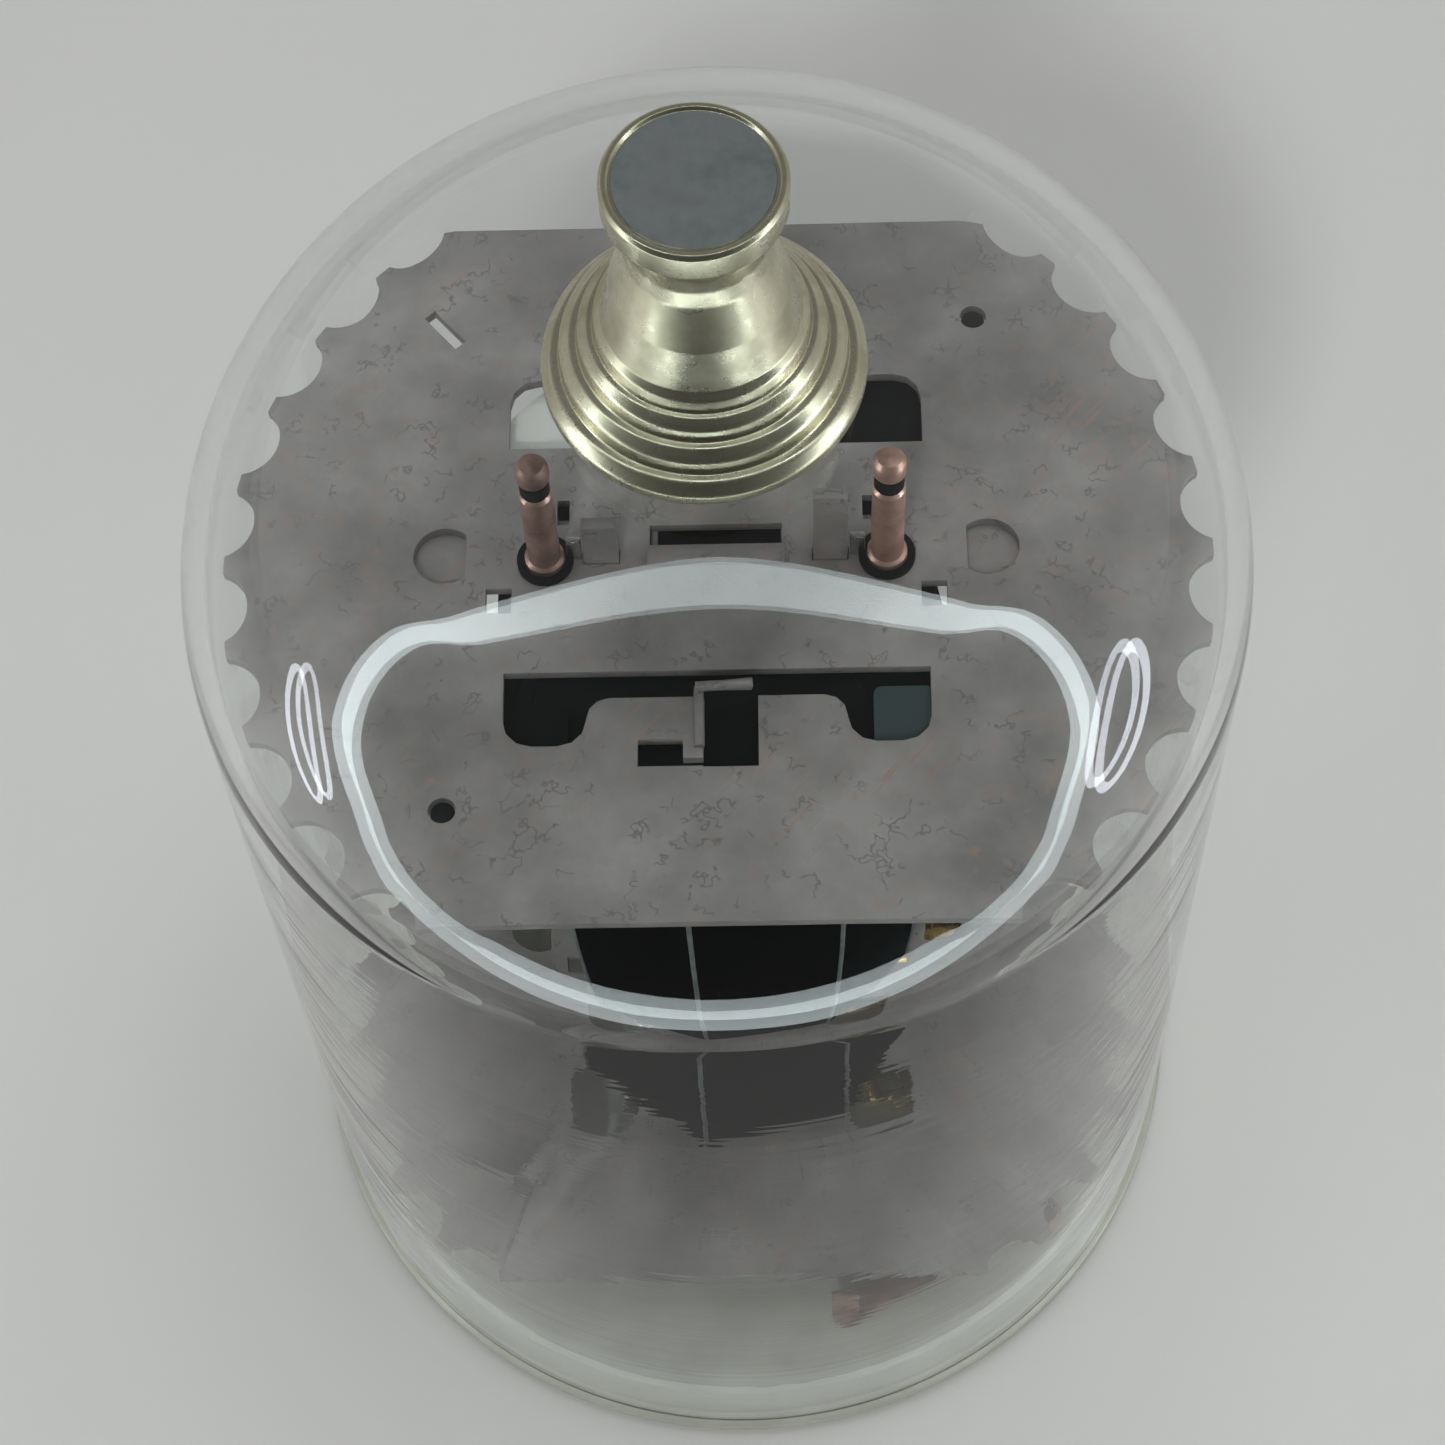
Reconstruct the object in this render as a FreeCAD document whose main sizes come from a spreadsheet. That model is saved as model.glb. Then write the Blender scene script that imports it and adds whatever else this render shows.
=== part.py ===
import FreeCAD, Part
import math
import os
import Sketcher
from FreeCAD import Placement, Rotation, Vector

# Wind up music box: a musical carousel under a lift-off domed cover. Millimetres, +Z up.
# The origin is the centre of the foot ring's lower face, on the surface that the box stands on.

doc = FreeCAD.newDocument("music_box")
sheet = doc.addObject("Spreadsheet::Sheet", "sizes")

SIZES = [
    # base
    ("foot_thick", 1.2), ("foot_outer", 43.0), ("foot_inner", 37.6), ("pan_sheet", 1.2),
    ("pan_flange_outer", 44.2), ("pan_wall_outer", 40.8), ("floor_top", 8.2),
    # cover
    ("cover_outer", 43.75), ("cover_wall", 2.0), ("cover_bottom", 2.45), ("dome_top", 130.6),
    ("dome_sphere", 77.0), ("shoulder_round", 25.5), ("cover_bore", 2.1),
    # knob
    ("felt_thick", 0.6), ("knob_flange", 12.2), ("knob_top", 6.7), ("knob_neck", 5.2), ("knob_tall", 24.0),
    ("stud_radius", 1.95),
    # carousel plates
    ("plate_tip", 41.0), ("plate_thick", 1.0), ("plate_flat", 32.4), ("bite_radius", 3.4),
    ("bite_centre", 42.0), ("bite_count", 32), ("upper_top", 102.5), ("lower_top", 19.0),
    ("slot_inner", 10.5), ("slot_half", 17.1), ("slot_wide", 2.4), ("lobe_wide", 6.7), ("lobe_reach", 17.1),
    # column
    ("mirror_face", 17.4), ("mirror_thick", 1.5), ("column_turn", 11.5), ("sides", 8),
    ("rod_radius", 1.5), ("bridge_half", 15.25), ("bridge_wide", 8.4), ("bridge_thick", 1.0),
    ("lug_place", 9.3), ("lug_wide", 2.8), ("lug_thick", 1.0), ("post_place", 13.9), ("post_radius", 1.33),
    ("cap_half", 17.9), ("cap_front", 19.3), ("cap_notch", 9.8), ("cap_corner", 2.0), ("cap_thick", 1.2),
    # spring barrel
    ("wheel_bottom", 8.7), ("wheel_thick", 0.7), ("wheel_outer", 11.4), ("drum_outer", 8.5),
    ("drum_wall", 0.6), ("drum_top", 16.6), ("lid_thick", 0.8), ("arbor_radius", 1.5), ("running", 0.05),
    # gear train
    ("crown_mid", 10.5), ("crown_teeth", 42), ("pinion_teeth", 12), ("crown_module", 0.5),
    ("axis_height", 13.0), ("cylinder_radius", 3.8), ("cylinder_start", 13.5), ("cylinder_long", 16.4),
    ("pin_long", 0.45), ("pin_radius", 0.16),
    ("wheel_teeth", 30), ("small_teeth", 10), ("fine_module", 0.25),
    ("mesh_drop", 25.0), ("worm_teeth", 16), ("worm_module", 0.28), ("worm_radius", 0.9),
    ("wheel_place", 31.0), ("worm_place", 34.5), ("spindle", 0.8),
    # bedplate and comb
    ("bed_thick", 1.6), ("note_pitch", 0.9), ("notes", 18), ("comb_thick", 0.9), ("comb_gap", 0.12),
]

for row, (alias, value) in enumerate(SIZES, start=1):
    cell = "A%d" % row
    sheet.set(cell, str(value))
    sheet.setAlias(cell, alias)
doc.recompute()

EMPTY = Placement()


def size(name):
    """One driving dimension, as a number."""
    return float(getattr(sheet, name))


def bind(item, prop, rule):
    """Binds a property to the sheet. In a rule a bare word is an alias of the sheet."""
    words = "".join(letter if letter.isalnum() or letter == "_" else " " for letter in rule).split()
    for word in sorted(set(words), key=len, reverse=True):
        if word in NAMES:
            rule = replace_word(rule, word)
    item.setExpression(prop, rule)


NAMES = {alias for alias, _ in SIZES}


def replace_word(rule, word):
    """Puts the sheet's name before each whole word of a rule."""
    out = []
    token = ""
    for letter in rule + " ":
        if letter.isalnum() or letter in "_.":
            token += letter
            continue
        out.append("sizes." + word if token == word else token)
        out.append(letter)
        token = ""
    return "".join(out).strip()


def cylinder(name, radius, height, bottom, x="0", y="0", axis="z"):
    """A round bar whose radius, height and place are bound to the sheet; axis is z or x."""
    item = doc.addObject("Part::Cylinder", name)
    bind(item, "Radius", radius)
    bind(item, "Height", height)
    if axis == "x":
        item.Placement.Rotation = Rotation(Vector(0, 1, 0), 90)
    place(item, x, y, bottom)
    return item


def box(name, long, wide, tall, x, y, z):
    """A block by its lengths and its lowest corner, all bound to the sheet."""
    item = doc.addObject("Part::Box", name)
    bind(item, "Length", long)
    bind(item, "Width", wide)
    bind(item, "Height", tall)
    place(item, x, y, z)
    return item


def place(item, x, y, z):
    """Binds the three places of an object."""
    bind(item, "Placement.Base.x", x)
    bind(item, "Placement.Base.y", y)
    bind(item, "Placement.Base.z", z)


def join(name, *pieces):
    """The union of several pieces."""
    item = doc.addObject("Part::MultiFuse", name)
    item.Shapes = list(pieces)
    return item


def cut(name, base, *tools):
    """A piece with other pieces taken out of it."""
    item = doc.addObject("Part::Cut", name)
    item.Base = base
    item.Tool = tools[0] if len(tools) == 1 else join(name + "_tools", *tools)
    return item


def common(name, *pieces):
    """What several pieces share."""
    item = doc.addObject("Part::MultiCommon", name)
    item.Shapes = list(pieces)
    return item


def group(name, *pieces):
    """Separate solids under one name, such as a set of screws."""
    item = doc.addObject("Part::Compound", name)
    item.Links = list(pieces)
    return item


def feature(name, shape, base=EMPTY):
    """A piece whose shape is worked out here from the sheet."""
    item = doc.addObject("Part::Feature", name)
    item.Shape = shape
    item.Placement = base
    return item


SUBPARTS = []


def subpart(item, label):
    """Gives a finished piece its own name and puts it on the list of files."""
    item.Label = label
    SUBPARTS.append(item)
    return item


def new_body(name):
    """An empty body for sketches and features."""
    return doc.addObject("PartDesign::Body", name)


def plane(body, role):
    """One origin plane of a body."""
    return next(item for item in body.Origin.OriginFeatures if item.Role == role)


def sketch(body, name, role, offset="0"):
    """A sketch on an origin plane of its own body, moved along the plane's normal."""
    item = body.newObject("Sketcher::SketchObject", name)
    item.AttachmentSupport = [(plane(body, role), "")]
    item.MapMode = "FlatFace"
    bind(item, "AttachmentOffset.Base.z", offset)
    return item


def value_of(rule):
    """The number that a rule gives."""
    for word in sorted(NAMES, key=len, reverse=True):
        rule = replace_word(rule, word)
    answer = sheet.evalExpression(rule.replace("sizes.", ""))
    return float(getattr(answer, "Value", answer))


def outline(item, points):
    """A closed run of straight lines; each corner is a pair of rules and is held to the sheet."""
    corners = [Vector(value_of(across), value_of(up), 0) for across, up in points]
    lines = [
        Part.LineSegment(corners[i], corners[(i + 1) % len(corners)]) for i in range(len(corners))
    ]
    first = item.GeometryCount
    item.addGeometry(lines, False)
    for i, (across, up) in enumerate(points):
        line = first + i
        after = first + (i + 1) % len(points)
        item.addConstraint(Sketcher.Constraint("Coincident", line, 2, after, 1))
        for kind, rule, number in (("DistanceX", across, corners[i].x), ("DistanceY", up, corners[i].y)):
            index = item.addConstraint(Sketcher.Constraint(kind, -1, 1, line, 1, number))
            bind(item, "Constraints[%d]" % index, rule)


def ring(item, radius, x="0", y="0"):
    """A circle held to the sheet."""
    centre = Vector(value_of(x), value_of(y), 0)
    geometry = item.addGeometry(Part.Circle(centre, Vector(0, 0, 1), value_of(radius)), False)
    for kind, rule, number in (("DistanceX", x, centre.x), ("DistanceY", y, centre.y)):
        index = item.addConstraint(Sketcher.Constraint(kind, -1, 1, geometry, 3, number))
        bind(item, "Constraints[%d]" % index, rule)
    index = item.addConstraint(Sketcher.Constraint("Radius", geometry, value_of(radius)))
    bind(item, "Constraints[%d]" % index, radius)


def pad(body, profile, length):
    """Thickens a sketch upwards."""
    item = body.newObject("PartDesign::Pad", profile.Name + "_pad")
    item.Profile = profile
    bind(item, "Length", length)
    return item


def pocket(body, profile):
    """Cuts a sketch through everything, both ways."""
    item = body.newObject("PartDesign::Pocket", profile.Name + "_pocket")
    item.Profile = profile
    item.Type = "ThroughAll"
    item.Midplane = True
    return item


def turned(label, points):
    """A turned piece: a profile of (radius, height) rules swept once about Z."""
    body = new_body(label + "_body")
    profile = sketch(body, label + "_profile", "XZ_Plane")
    outline(profile, points)
    item = body.newObject("PartDesign::Revolution", label + "_turn")
    item.Profile = profile
    item.ReferenceAxis = (profile, ["V_Axis"])
    item.Angle = 360
    return body


def gear_shape(teeth, module, thick, bore):
    """A spur wheel with its axis on Z, a tooth on +X and slim teeth that leave backlash."""
    tip = module * (teeth / 2 + 0.9)
    root = module * (teeth / 2 - 1.15)
    half = math.pi / teeth
    corners = []
    for k in range(teeth):
        middle = 2 * half * k
        for radius, share in ((root, -0.62), (tip, -0.22), (tip, 0.22), (root, 0.62)):
            angle = middle + share * half
            corners.append(Vector(radius * math.cos(angle), radius * math.sin(angle), 0))
    corners.append(corners[0])
    blank = Part.Face(Part.makePolygon(corners)).extrude(Vector(0, 0, thick))
    return blank.cut(Part.makeCylinder(bore, thick))


def along_x(x, y, z, turn=0.0):
    """Carries a piece made about Z to an axis along +X; its +X side then points down, turned."""
    spin = Rotation(Vector(1, 0, 0), turn)
    return Placement(Vector(x, y, z), spin.multiply(Rotation(Vector(0, 1, 0), 90)))


# ---------------------------------------------------------------- base
subpart(
    turned(
        "base_foot_ring",
        [
            ("foot_inner", "0"), ("foot_outer", "0"),
            ("foot_outer", "foot_thick"), ("foot_inner", "foot_thick"),
        ],
    ),
    "base_foot_ring",
)
subpart(
    turned(
        "base_pan",
        [
            ("pan_wall_outer - pan_sheet", "foot_thick"),
            ("pan_flange_outer", "foot_thick"),
            ("pan_flange_outer", "foot_thick + pan_sheet"),
            ("pan_wall_outer", "foot_thick + pan_sheet"),
            ("pan_wall_outer", "floor_top - 0.6"),
            ("pan_wall_outer - 0.6", "floor_top"),
            ("3", "floor_top"),
            ("3", "floor_top - pan_sheet"),
            ("pan_wall_outer - pan_sheet", "floor_top - pan_sheet"),
        ],
    ),
    "base_pan",
)
subpart(
    turned(
        "arbor_bush",
        [
            ("arbor_radius + running", "floor_top - pan_sheet"),
            ("3", "floor_top - pan_sheet"),
            ("3", "floor_top"),
            ("4.2", "floor_top"),
            ("4.2", "floor_top + 0.4"),
            ("arbor_radius + running", "floor_top + 0.4"),
        ],
    ),
    "arbor_bush",
)

# ---------------------------------------------------------------- winding
KEY_BOTTOM = "foot_thick + 0.2"
key_hub = cylinder("key_hub", "2.7", "3.8", KEY_BOTTOM)
key_wing = box("key_wing", "17", "1.6", "3.4", "-8.5", "-0.8", KEY_BOTTOM)
key_ends = [
    cylinder("key_end_%d" % n, "3.6", "3.4", KEY_BOTTOM, str(side * 8.6)) for n, side in enumerate((-1, 1))
]
key_band = box("key_band", "26", "2.2", "3.4", "-13", "-1.1", KEY_BOTTOM)
key_pads = common("key_pads", join("key_round", *key_ends), key_band)
key_blank = join("key_blank", key_hub, key_wing, key_pads)
key_socket = cylinder("key_socket", "arbor_radius", "3", "foot_thick + 1.6")
subpart(cut("key_cut", key_blank, key_socket), "winding_key")

ARBOR_BOTTOM = "foot_thick + 1.6"
arbor_foot = cylinder("arbor_foot", "arbor_radius", "wheel_bottom + 5.6 - foot_thick", ARBOR_BOTTOM)
arbor_core = cylinder("arbor_core", "2.3", "5.4", "wheel_bottom + 1.5")
arbor_tip = cylinder("arbor_tip", "0.9", "1.4", "wheel_bottom + 7.1")
subpart(join("arbor", arbor_foot, arbor_core, arbor_tip), "winding_arbor")


def ratchet_shape(teeth, tip, root, thick, bore):
    """A saw-toothed wheel: each tooth rises slowly and drops straight in."""
    corners = []
    for k in range(teeth):
        start = 2 * math.pi * k / teeth
        end = 2 * math.pi * (k + 1) / teeth
        corners.append(Vector(root * math.cos(start), root * math.sin(start), 0))
        corners.append(Vector(tip * math.cos(end), tip * math.sin(end), 0))
    corners.append(corners[0])
    blank = Part.Face(Part.makePolygon(corners)).extrude(Vector(0, 0, thick))
    return blank.cut(Part.makeCylinder(bore, thick))


RATCHET_TEETH = 12
RATCHET_TIP = 5.2
RATCHET_ROOT = 4.4
RATCHET_THICK = 1.0
ratchet_bottom = size("floor_top") - size("pan_sheet") - 0.3 - RATCHET_THICK
subpart(
    feature(
        "ratchet",
        ratchet_shape(RATCHET_TEETH, RATCHET_TIP, RATCHET_ROOT, RATCHET_THICK, size("arbor_radius")),
        Placement(Vector(0, 0, ratchet_bottom), Rotation()),
    ),
    "ratchet_wheel",
)

# The click leans on the ratchet from the side; its nose stands 0.2 mm clear of the tooth it stops.
CLICK_X = 6.6
CLICK_Y = 7.4
click_bottom = ratchet_bottom + 0.1
CLICK_THICK = 0.8
CLICK_HEAD = 0.6
nose = Vector(RATCHET_ROOT + 0.35, 0.25, 0)
click_points = [
    Vector(CLICK_X - 1.0, CLICK_Y, 0),
    Vector(nose.x, nose.y, 0),
    Vector(nose.x + 0.9, nose.y, 0),
    Vector(CLICK_X + 1.3, CLICK_Y - 0.6, 0),
]
click_arm = Part.Face(Part.makePolygon(click_points + click_points[:1])).extrude(Vector(0, 0, CLICK_THICK))
click_eye = Part.makeCylinder(1.5, CLICK_THICK, Vector(CLICK_X, CLICK_Y, 0))
click_hole = Part.makeCylinder(0.75, CLICK_THICK, Vector(CLICK_X, CLICK_Y, 0))
click_shape = click_arm.fuse(click_eye).cut(click_hole)
subpart(feature("click", click_shape, Placement(Vector(0, 0, click_bottom), Rotation())), "click_pawl")
head_bottom = str(click_bottom - CLICK_HEAD - 0.1)
click_head = cylinder("click_head", "1.3", str(CLICK_HEAD), head_bottom, str(CLICK_X), str(CLICK_Y))
stem_tall = "floor_top - pan_sheet - " + head_bottom
click_stem = cylinder("click_stem", "0.7", stem_tall, head_bottom, str(CLICK_X), str(CLICK_Y))
subpart(join("click_pin", click_head, click_stem), "click_screw")

# ---------------------------------------------------------------- spring barrel
barrel_pan = turned(
    "barrel_drum",
    [
        ("arbor_radius + running", "wheel_bottom"),
        ("wheel_outer", "wheel_bottom"),
        ("wheel_outer", "wheel_bottom + wheel_thick"),
        ("drum_outer", "wheel_bottom + wheel_thick"),
        ("drum_outer", "drum_top"),
        ("drum_outer - drum_wall", "drum_top"),
        ("drum_outer - drum_wall", "wheel_bottom + wheel_thick"),
        ("arbor_radius + running", "wheel_bottom + wheel_thick"),
    ],
)
CROWN_INNER = 9.1
CROWN_RISE = 0.85


def crown_shape():
    """The ring of upright teeth on the barrel's wheel."""
    teeth = int(size("crown_teeth"))
    root = 0.24
    crest = 0.16
    low = size("wheel_bottom") + size("wheel_thick") - 0.1
    high = size("wheel_bottom") + size("wheel_thick") + CROWN_RISE
    corners = [Vector(CROWN_INNER, -root, low), Vector(CROWN_INNER, root, low)]
    corners += [Vector(CROWN_INNER, crest, high), Vector(CROWN_INNER, -crest, high)]
    tooth = Part.Face(Part.makePolygon(corners + corners[:1]))
    tooth = tooth.extrude(Vector(size("wheel_outer") - 0.05 - CROWN_INNER, 0, 0))
    copies = []
    for k in range(teeth):
        copy = tooth.copy()
        copy.rotate(Vector(0, 0, 0), Vector(0, 0, 1), 360 * k / teeth)
        copies.append(copy)
    return Part.makeCompound(copies)


crown = feature("crown_teeth_ring", crown_shape())
subpart(join("barrel_join", barrel_pan, crown), "spring_barrel")
subpart(
    turned(
        "barrel_lid",
        [
            ("0.95", "drum_top"),
            ("drum_outer", "drum_top"),
            ("drum_outer", "drum_top + lid_thick - 0.2"),
            ("drum_outer - 0.3", "drum_top + lid_thick"),
            ("0.95", "drum_top + lid_thick"),
        ],
    ),
    "barrel_lid",
)


def spiral_shape(inner, outer, turns, strip, tall):
    """A flat spring: one strip wound outwards, as a face between two spirals made thick."""
    steps = int(turns * 16)
    rise = (outer - inner - strip) / steps
    inside = []
    outside = []
    for k in range(steps + 1):
        angle = 2 * math.pi * turns * k / steps
        radius = inner + rise * k
        direction = Vector(math.cos(angle), math.sin(angle), 0)
        inside.append(direction * radius)
        outside.append(direction * (radius + strip))
    near = Part.BSplineCurve()
    near.interpolate(inside)
    far = Part.BSplineCurve()
    far.interpolate(outside)
    ends = [Part.LineSegment(inside[k], outside[k]).toShape() for k in (0, -1)]
    wire = Part.Wire(Part.__sortEdges__([near.toShape(), far.toShape()] + ends))
    return Part.Face(wire).extrude(Vector(0, 0, tall))


SPRING_INNER = 2.6
SPRING_TURNS = 7.5
SPRING_STRIP = 0.3
SPRING_TALL = 5.4
spring_z = size("wheel_bottom") + size("wheel_thick") + 0.5
spring_outer = size("drum_outer") - size("drum_wall") - 0.15
subpart(
    feature(
        "spring",
        spiral_shape(SPRING_INNER, spring_outer, SPRING_TURNS, SPRING_STRIP, SPRING_TALL),
        Placement(Vector(0, 0, spring_z), Rotation()),
    ),
    "mainspring",
)
subpart(
    turned(
        "drive_hub",
        [
            ("0", "drum_top + lid_thick"),
            ("7", "drum_top + lid_thick"),
            ("7", "lower_top - plate_thick"),
            ("4", "lower_top - plate_thick"),
            ("4", "lower_top + 4.4"),
            ("3.6", "lower_top + 4.8"),
            ("rod_radius", "lower_top + 4.8"),
            ("rod_radius", "lower_top - 0.4"),
            ("0", "lower_top - 0.4"),
        ],
    ),
    "drive_hub",
)

# ---------------------------------------------------------------- carousel plates
LOBE_ROUND = 2.3
NECK_ROUND = 1.8


def scalloped_plate(label, top, middle):
    """A stamped disc with bites round its rim, two flats and clip slots; middle is a bore or 0."""
    body = new_body(label + "_body")
    disc = sketch(body, label + "_disc", "XY_Plane", top + " - plate_thick")
    ring(disc, "plate_tip")
    if middle != "0":
        ring(disc, middle)
    pad(body, disc, "plate_thick")
    bite = sketch(body, label + "_bite", "XY_Plane", top)
    half_step = math.pi / size("bite_count")
    ring(
        bite,
        "bite_radius",
        "bite_centre * %.9f" % math.cos(half_step),
        "bite_centre * %.9f" % math.sin(half_step),
    )
    bites = pocket(body, bite)
    pattern = body.newObject("PartDesign::PolarPattern", label + "_bites")
    pattern.Originals = [bites]
    pattern.Axis = (bite, ["N_Axis"])
    pattern.Angle = 360
    pattern.Occurrences = int(size("bite_count"))
    bind(pattern, "Occurrences", "bite_count")
    body.Tip = pattern
    windows = sketch(body, label + "_windows", "XY_Plane", top)
    far = "plate_tip + 4"
    for sign, way in (("", 1), ("-", -1)):
        outline(
            windows,
            [
                ("-(%s)" % far, sign + "plate_flat"),
                (far, sign + "plate_flat"),
                (far, sign + "(%s)" % far),
                ("-(%s)" % far, sign + "(%s)" % far),
            ],
        )
        inner = sign + "slot_inner"
        neck = sign + "(slot_inner + slot_wide)"
        reach = sign + "lobe_reach"
        right = "(slot_half - lobe_wide)"
        left = "-(slot_half - lobe_wide)"
        outline(
            windows,
            [
                ("-slot_half", inner), ("slot_half", inner),
                *quarter("slot_half", reach, -1, -way, LOBE_ROUND),
                *reversed(quarter(right, reach, 1, -way, LOBE_ROUND)),
                *quarter(right, neck, -1, way, NECK_ROUND),
                *reversed(quarter(left, neck, 1, way, NECK_ROUND)),
                *quarter(left, reach, -1, -way, LOBE_ROUND),
                *reversed(quarter("-slot_half", reach, 1, -way, LOBE_ROUND)),
            ],
        )
    for side in ("-", ""):
        window(windows, side + "17.65", "-3.85", "2.1", "2.3")
        window(windows, side + "12.5", "4.3", "1", "2.3")
        half_moon(windows, -1 if side else 1)
    ring(windows, "1.1", "21.7", "22.6")
    ring(windows, "1.1", "-21.7", "-22.6")
    slant(windows, -22.75, 22.35, 4.1, 1.1, -49)
    window(windows, "0", "1.9", "10.8", "2.1")
    pocket(body, windows)
    return body


def quarter(x, y, across, up, radius):
    """A corner made round in three steps, from its upright side; across and up point to the centre."""
    points = []
    for turn in (0, 30, 60, 90):
        angle = math.radians(turn)
        side = across * radius * (1 - math.cos(angle))
        rise = up * radius * (1 - math.sin(angle))
        points.append(("%s + %.5f" % (x, side), "%s + %.5f" % (y, rise)))
    return points


def window(item, x, y, wide, tall):
    """A rectangular window by its middle and its two sizes."""
    left = "%s - %s / 2" % (x, wide)
    right = "%s + %s / 2" % (x, wide)
    low = "%s - %s / 2" % (y, tall)
    high = "%s + %s / 2" % (y, tall)
    outline(item, [(left, low), (right, low), (right, high), (left, high)])


def half_moon(item, side):
    """A round hole with one flat side, which faces the middle."""
    centre = 22.1
    radius = 2.6
    flat = 20.4
    middle = 0.4
    angle = math.acos((centre - flat) / radius)
    start = Vector(side * flat, middle + side * radius * math.sin(angle), 0)
    end = Vector(side * flat, middle - side * radius * math.sin(angle), 0)
    far = Vector(side * (centre + radius), middle, 0)
    arc = Part.Arc(start, far, end)
    item.addGeometry([arc, Part.LineSegment(end, start)], False)


def slant(item, x, y, long, wide, angle):
    """A slit turned by an angle."""
    spin = Rotation(Vector(0, 0, 1), angle)
    corners = []
    for across, up in ((-1, -1), (1, -1), (1, 1), (-1, 1)):
        corner = Vector(x, y, 0) + spin.multVec(Vector(across * long / 2, up * wide / 2, 0))
        corners.append(("%.4f" % corner.x, "%.4f" % corner.y))
    outline(item, corners)


top_blank = scalloped_plate("top_blank", "upper_top", "0")
flag_wide = box("flag_wide", "4.4", "6.8", "4", "-1.1", "-19.1", "upper_top - 2")
flag_small = box("flag_small", "3.6", "2.4", "4", "-6.3", "-19", "upper_top - 2")
flag_join = box("flag_join", "5", "0.7", "4", "-4", "-19", "upper_top - 2")
post_holes = [
    cylinder("post_hole_%d" % n, "1.2", "4", "upper_top - 2", "%spost_place" % sign, "-0.3")
    for n, sign in enumerate(("-", ""))
]
lug_slots = [
    box(
        "lug_slot_%d" % n, "lug_wide + 0.2", "lug_thick + 0.2", "4",
        "%slug_place - lug_wide / 2 - 0.1" % sign, "-lug_thick / 2 - 0.1", "upper_top - 2",
    )
    for n, sign in enumerate(("-", ""))
]
top_cut = cut("top_cut", top_blank, flag_wide, flag_small, flag_join, *post_holes, *lug_slots)
centre_tab = box("centre_tab", "11.2", "1.7", "0.5", "-5.6", "-0.9", "upper_top")
hook_foot = box("hook_foot", "0.5", "4.6", "0.5", "-1.65", "-17.4", "upper_top - 0.05")
hook_rise = box("hook_rise", "0.5", "0.6", "2.4", "-1.65", "-13.4", "upper_top")
hook_arm = box("hook_arm", "4.5", "0.6", "0.5", "-1.65", "-13.4", "upper_top + 1.9")
subpart(join("top_join", top_cut, centre_tab, hook_foot, hook_rise, hook_arm), "top_plate")

lower_blank = scalloped_plate("lower_blank", "lower_top", "4.05")
subpart(lower_blank, "lower_plate")

# ---------------------------------------------------------------- column
EIGHTH = 180 / size("sides")
half_tan = math.tan(math.radians(EIGHTH))
core_apothem = "(mirror_face - mirror_thick - 0.1)"


def octagon(item, apothem):
    """A closed outline of equal sides at one distance from the middle."""
    corners = []
    for k in range(int(size("sides"))):
        angle = math.radians(EIGHTH + 2 * EIGHTH * k)
        across = "%s * %.9f" % (apothem, math.cos(angle) / math.cos(math.radians(EIGHTH)))
        up = "%s * %.9f" % (apothem, math.sin(angle) / math.cos(math.radians(EIGHTH)))
        corners.append((across, up))
    outline(item, corners)


BRIDGE_BOTTOM = "upper_top - plate_thick - bridge_thick"
CAP_BOTTOM = "upper_top - plate_thick - bridge_thick - 0.05 - cap_thick"
core_body = new_body("core_body")
core_sketch = sketch(core_body, "core_sketch", "XY_Plane", "lower_top")
octagon(core_sketch, core_apothem)
ring(core_sketch, "rod_radius + 0.3")
pad(core_body, core_sketch, CAP_BOTTOM + " - 0.05 - lower_top")
bind(core_body, "Placement.Rotation.Angle", "column_turn")
core_socket = cylinder("core_socket", "4.05", "5", "lower_top")
core_well = cylinder("core_well", "5", "7", BRIDGE_BOTTOM + " - 6.5")
BRIDGE_SCREWS = (("-7", "2.3"), ("7", "-2.3"))
core_screw_holes = [
    cylinder("core_pilot_%d" % n, "0.85", "7", BRIDGE_BOTTOM + " - 6.9", x, y)
    for n, (x, y) in enumerate(BRIDGE_SCREWS)
]
subpart(cut("core_cut", core_body, core_socket, core_well, *core_screw_holes), "column_core")

cap_body = new_body("cap_body")
cap_sketch = sketch(cap_body, "cap_sketch", "XY_Plane", CAP_BOTTOM)
outline(
    cap_sketch,
    [
        ("-cap_half + cap_corner", "-cap_front"), ("cap_half - cap_corner", "-cap_front"),
        ("cap_half", "-cap_front + cap_corner"), ("cap_half", "cap_half - cap_corner"),
        ("cap_half - cap_corner", "cap_half"), ("-cap_notch", "cap_half"),
        ("-cap_notch", "cap_notch"), ("-cap_half", "cap_notch"),
        ("-cap_half", "-cap_front + cap_corner"),
    ],
)
for x, y in BRIDGE_SCREWS:
    ring(cap_sketch, "0.85", x, y)
for sign in ("-", ""):
    ring(cap_sketch, "1.3", sign + "post_place", "-0.3")
pad(cap_body, cap_sketch, "cap_thick")
subpart(cap_body, "column_cap")

for side in range(int(size("sides"))):
    panel = new_body("panel_body_%d" % (side + 1))
    face = sketch(panel, "panel_sketch_%d" % (side + 1), "XY_Plane", "lower_top + 0.1")
    inner_half = "(mirror_face - mirror_thick) * %.9f - 0.08" % half_tan
    outer_half = "mirror_face * %.9f - 0.08" % half_tan
    outline(
        face,
        [
            ("mirror_face - mirror_thick", "-(%s)" % inner_half),
            ("mirror_face", "-(%s)" % outer_half),
            ("mirror_face", outer_half),
            ("mirror_face - mirror_thick", inner_half),
        ],
    )
    pad(panel, face, CAP_BOTTOM + " - 0.05 - lower_top - 0.1")
    bind(panel, "Placement.Rotation.Angle", "column_turn + %d" % (side * 360 / size("sides")))
    subpart(panel, "mirror_panel_%d" % (side + 1))

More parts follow.
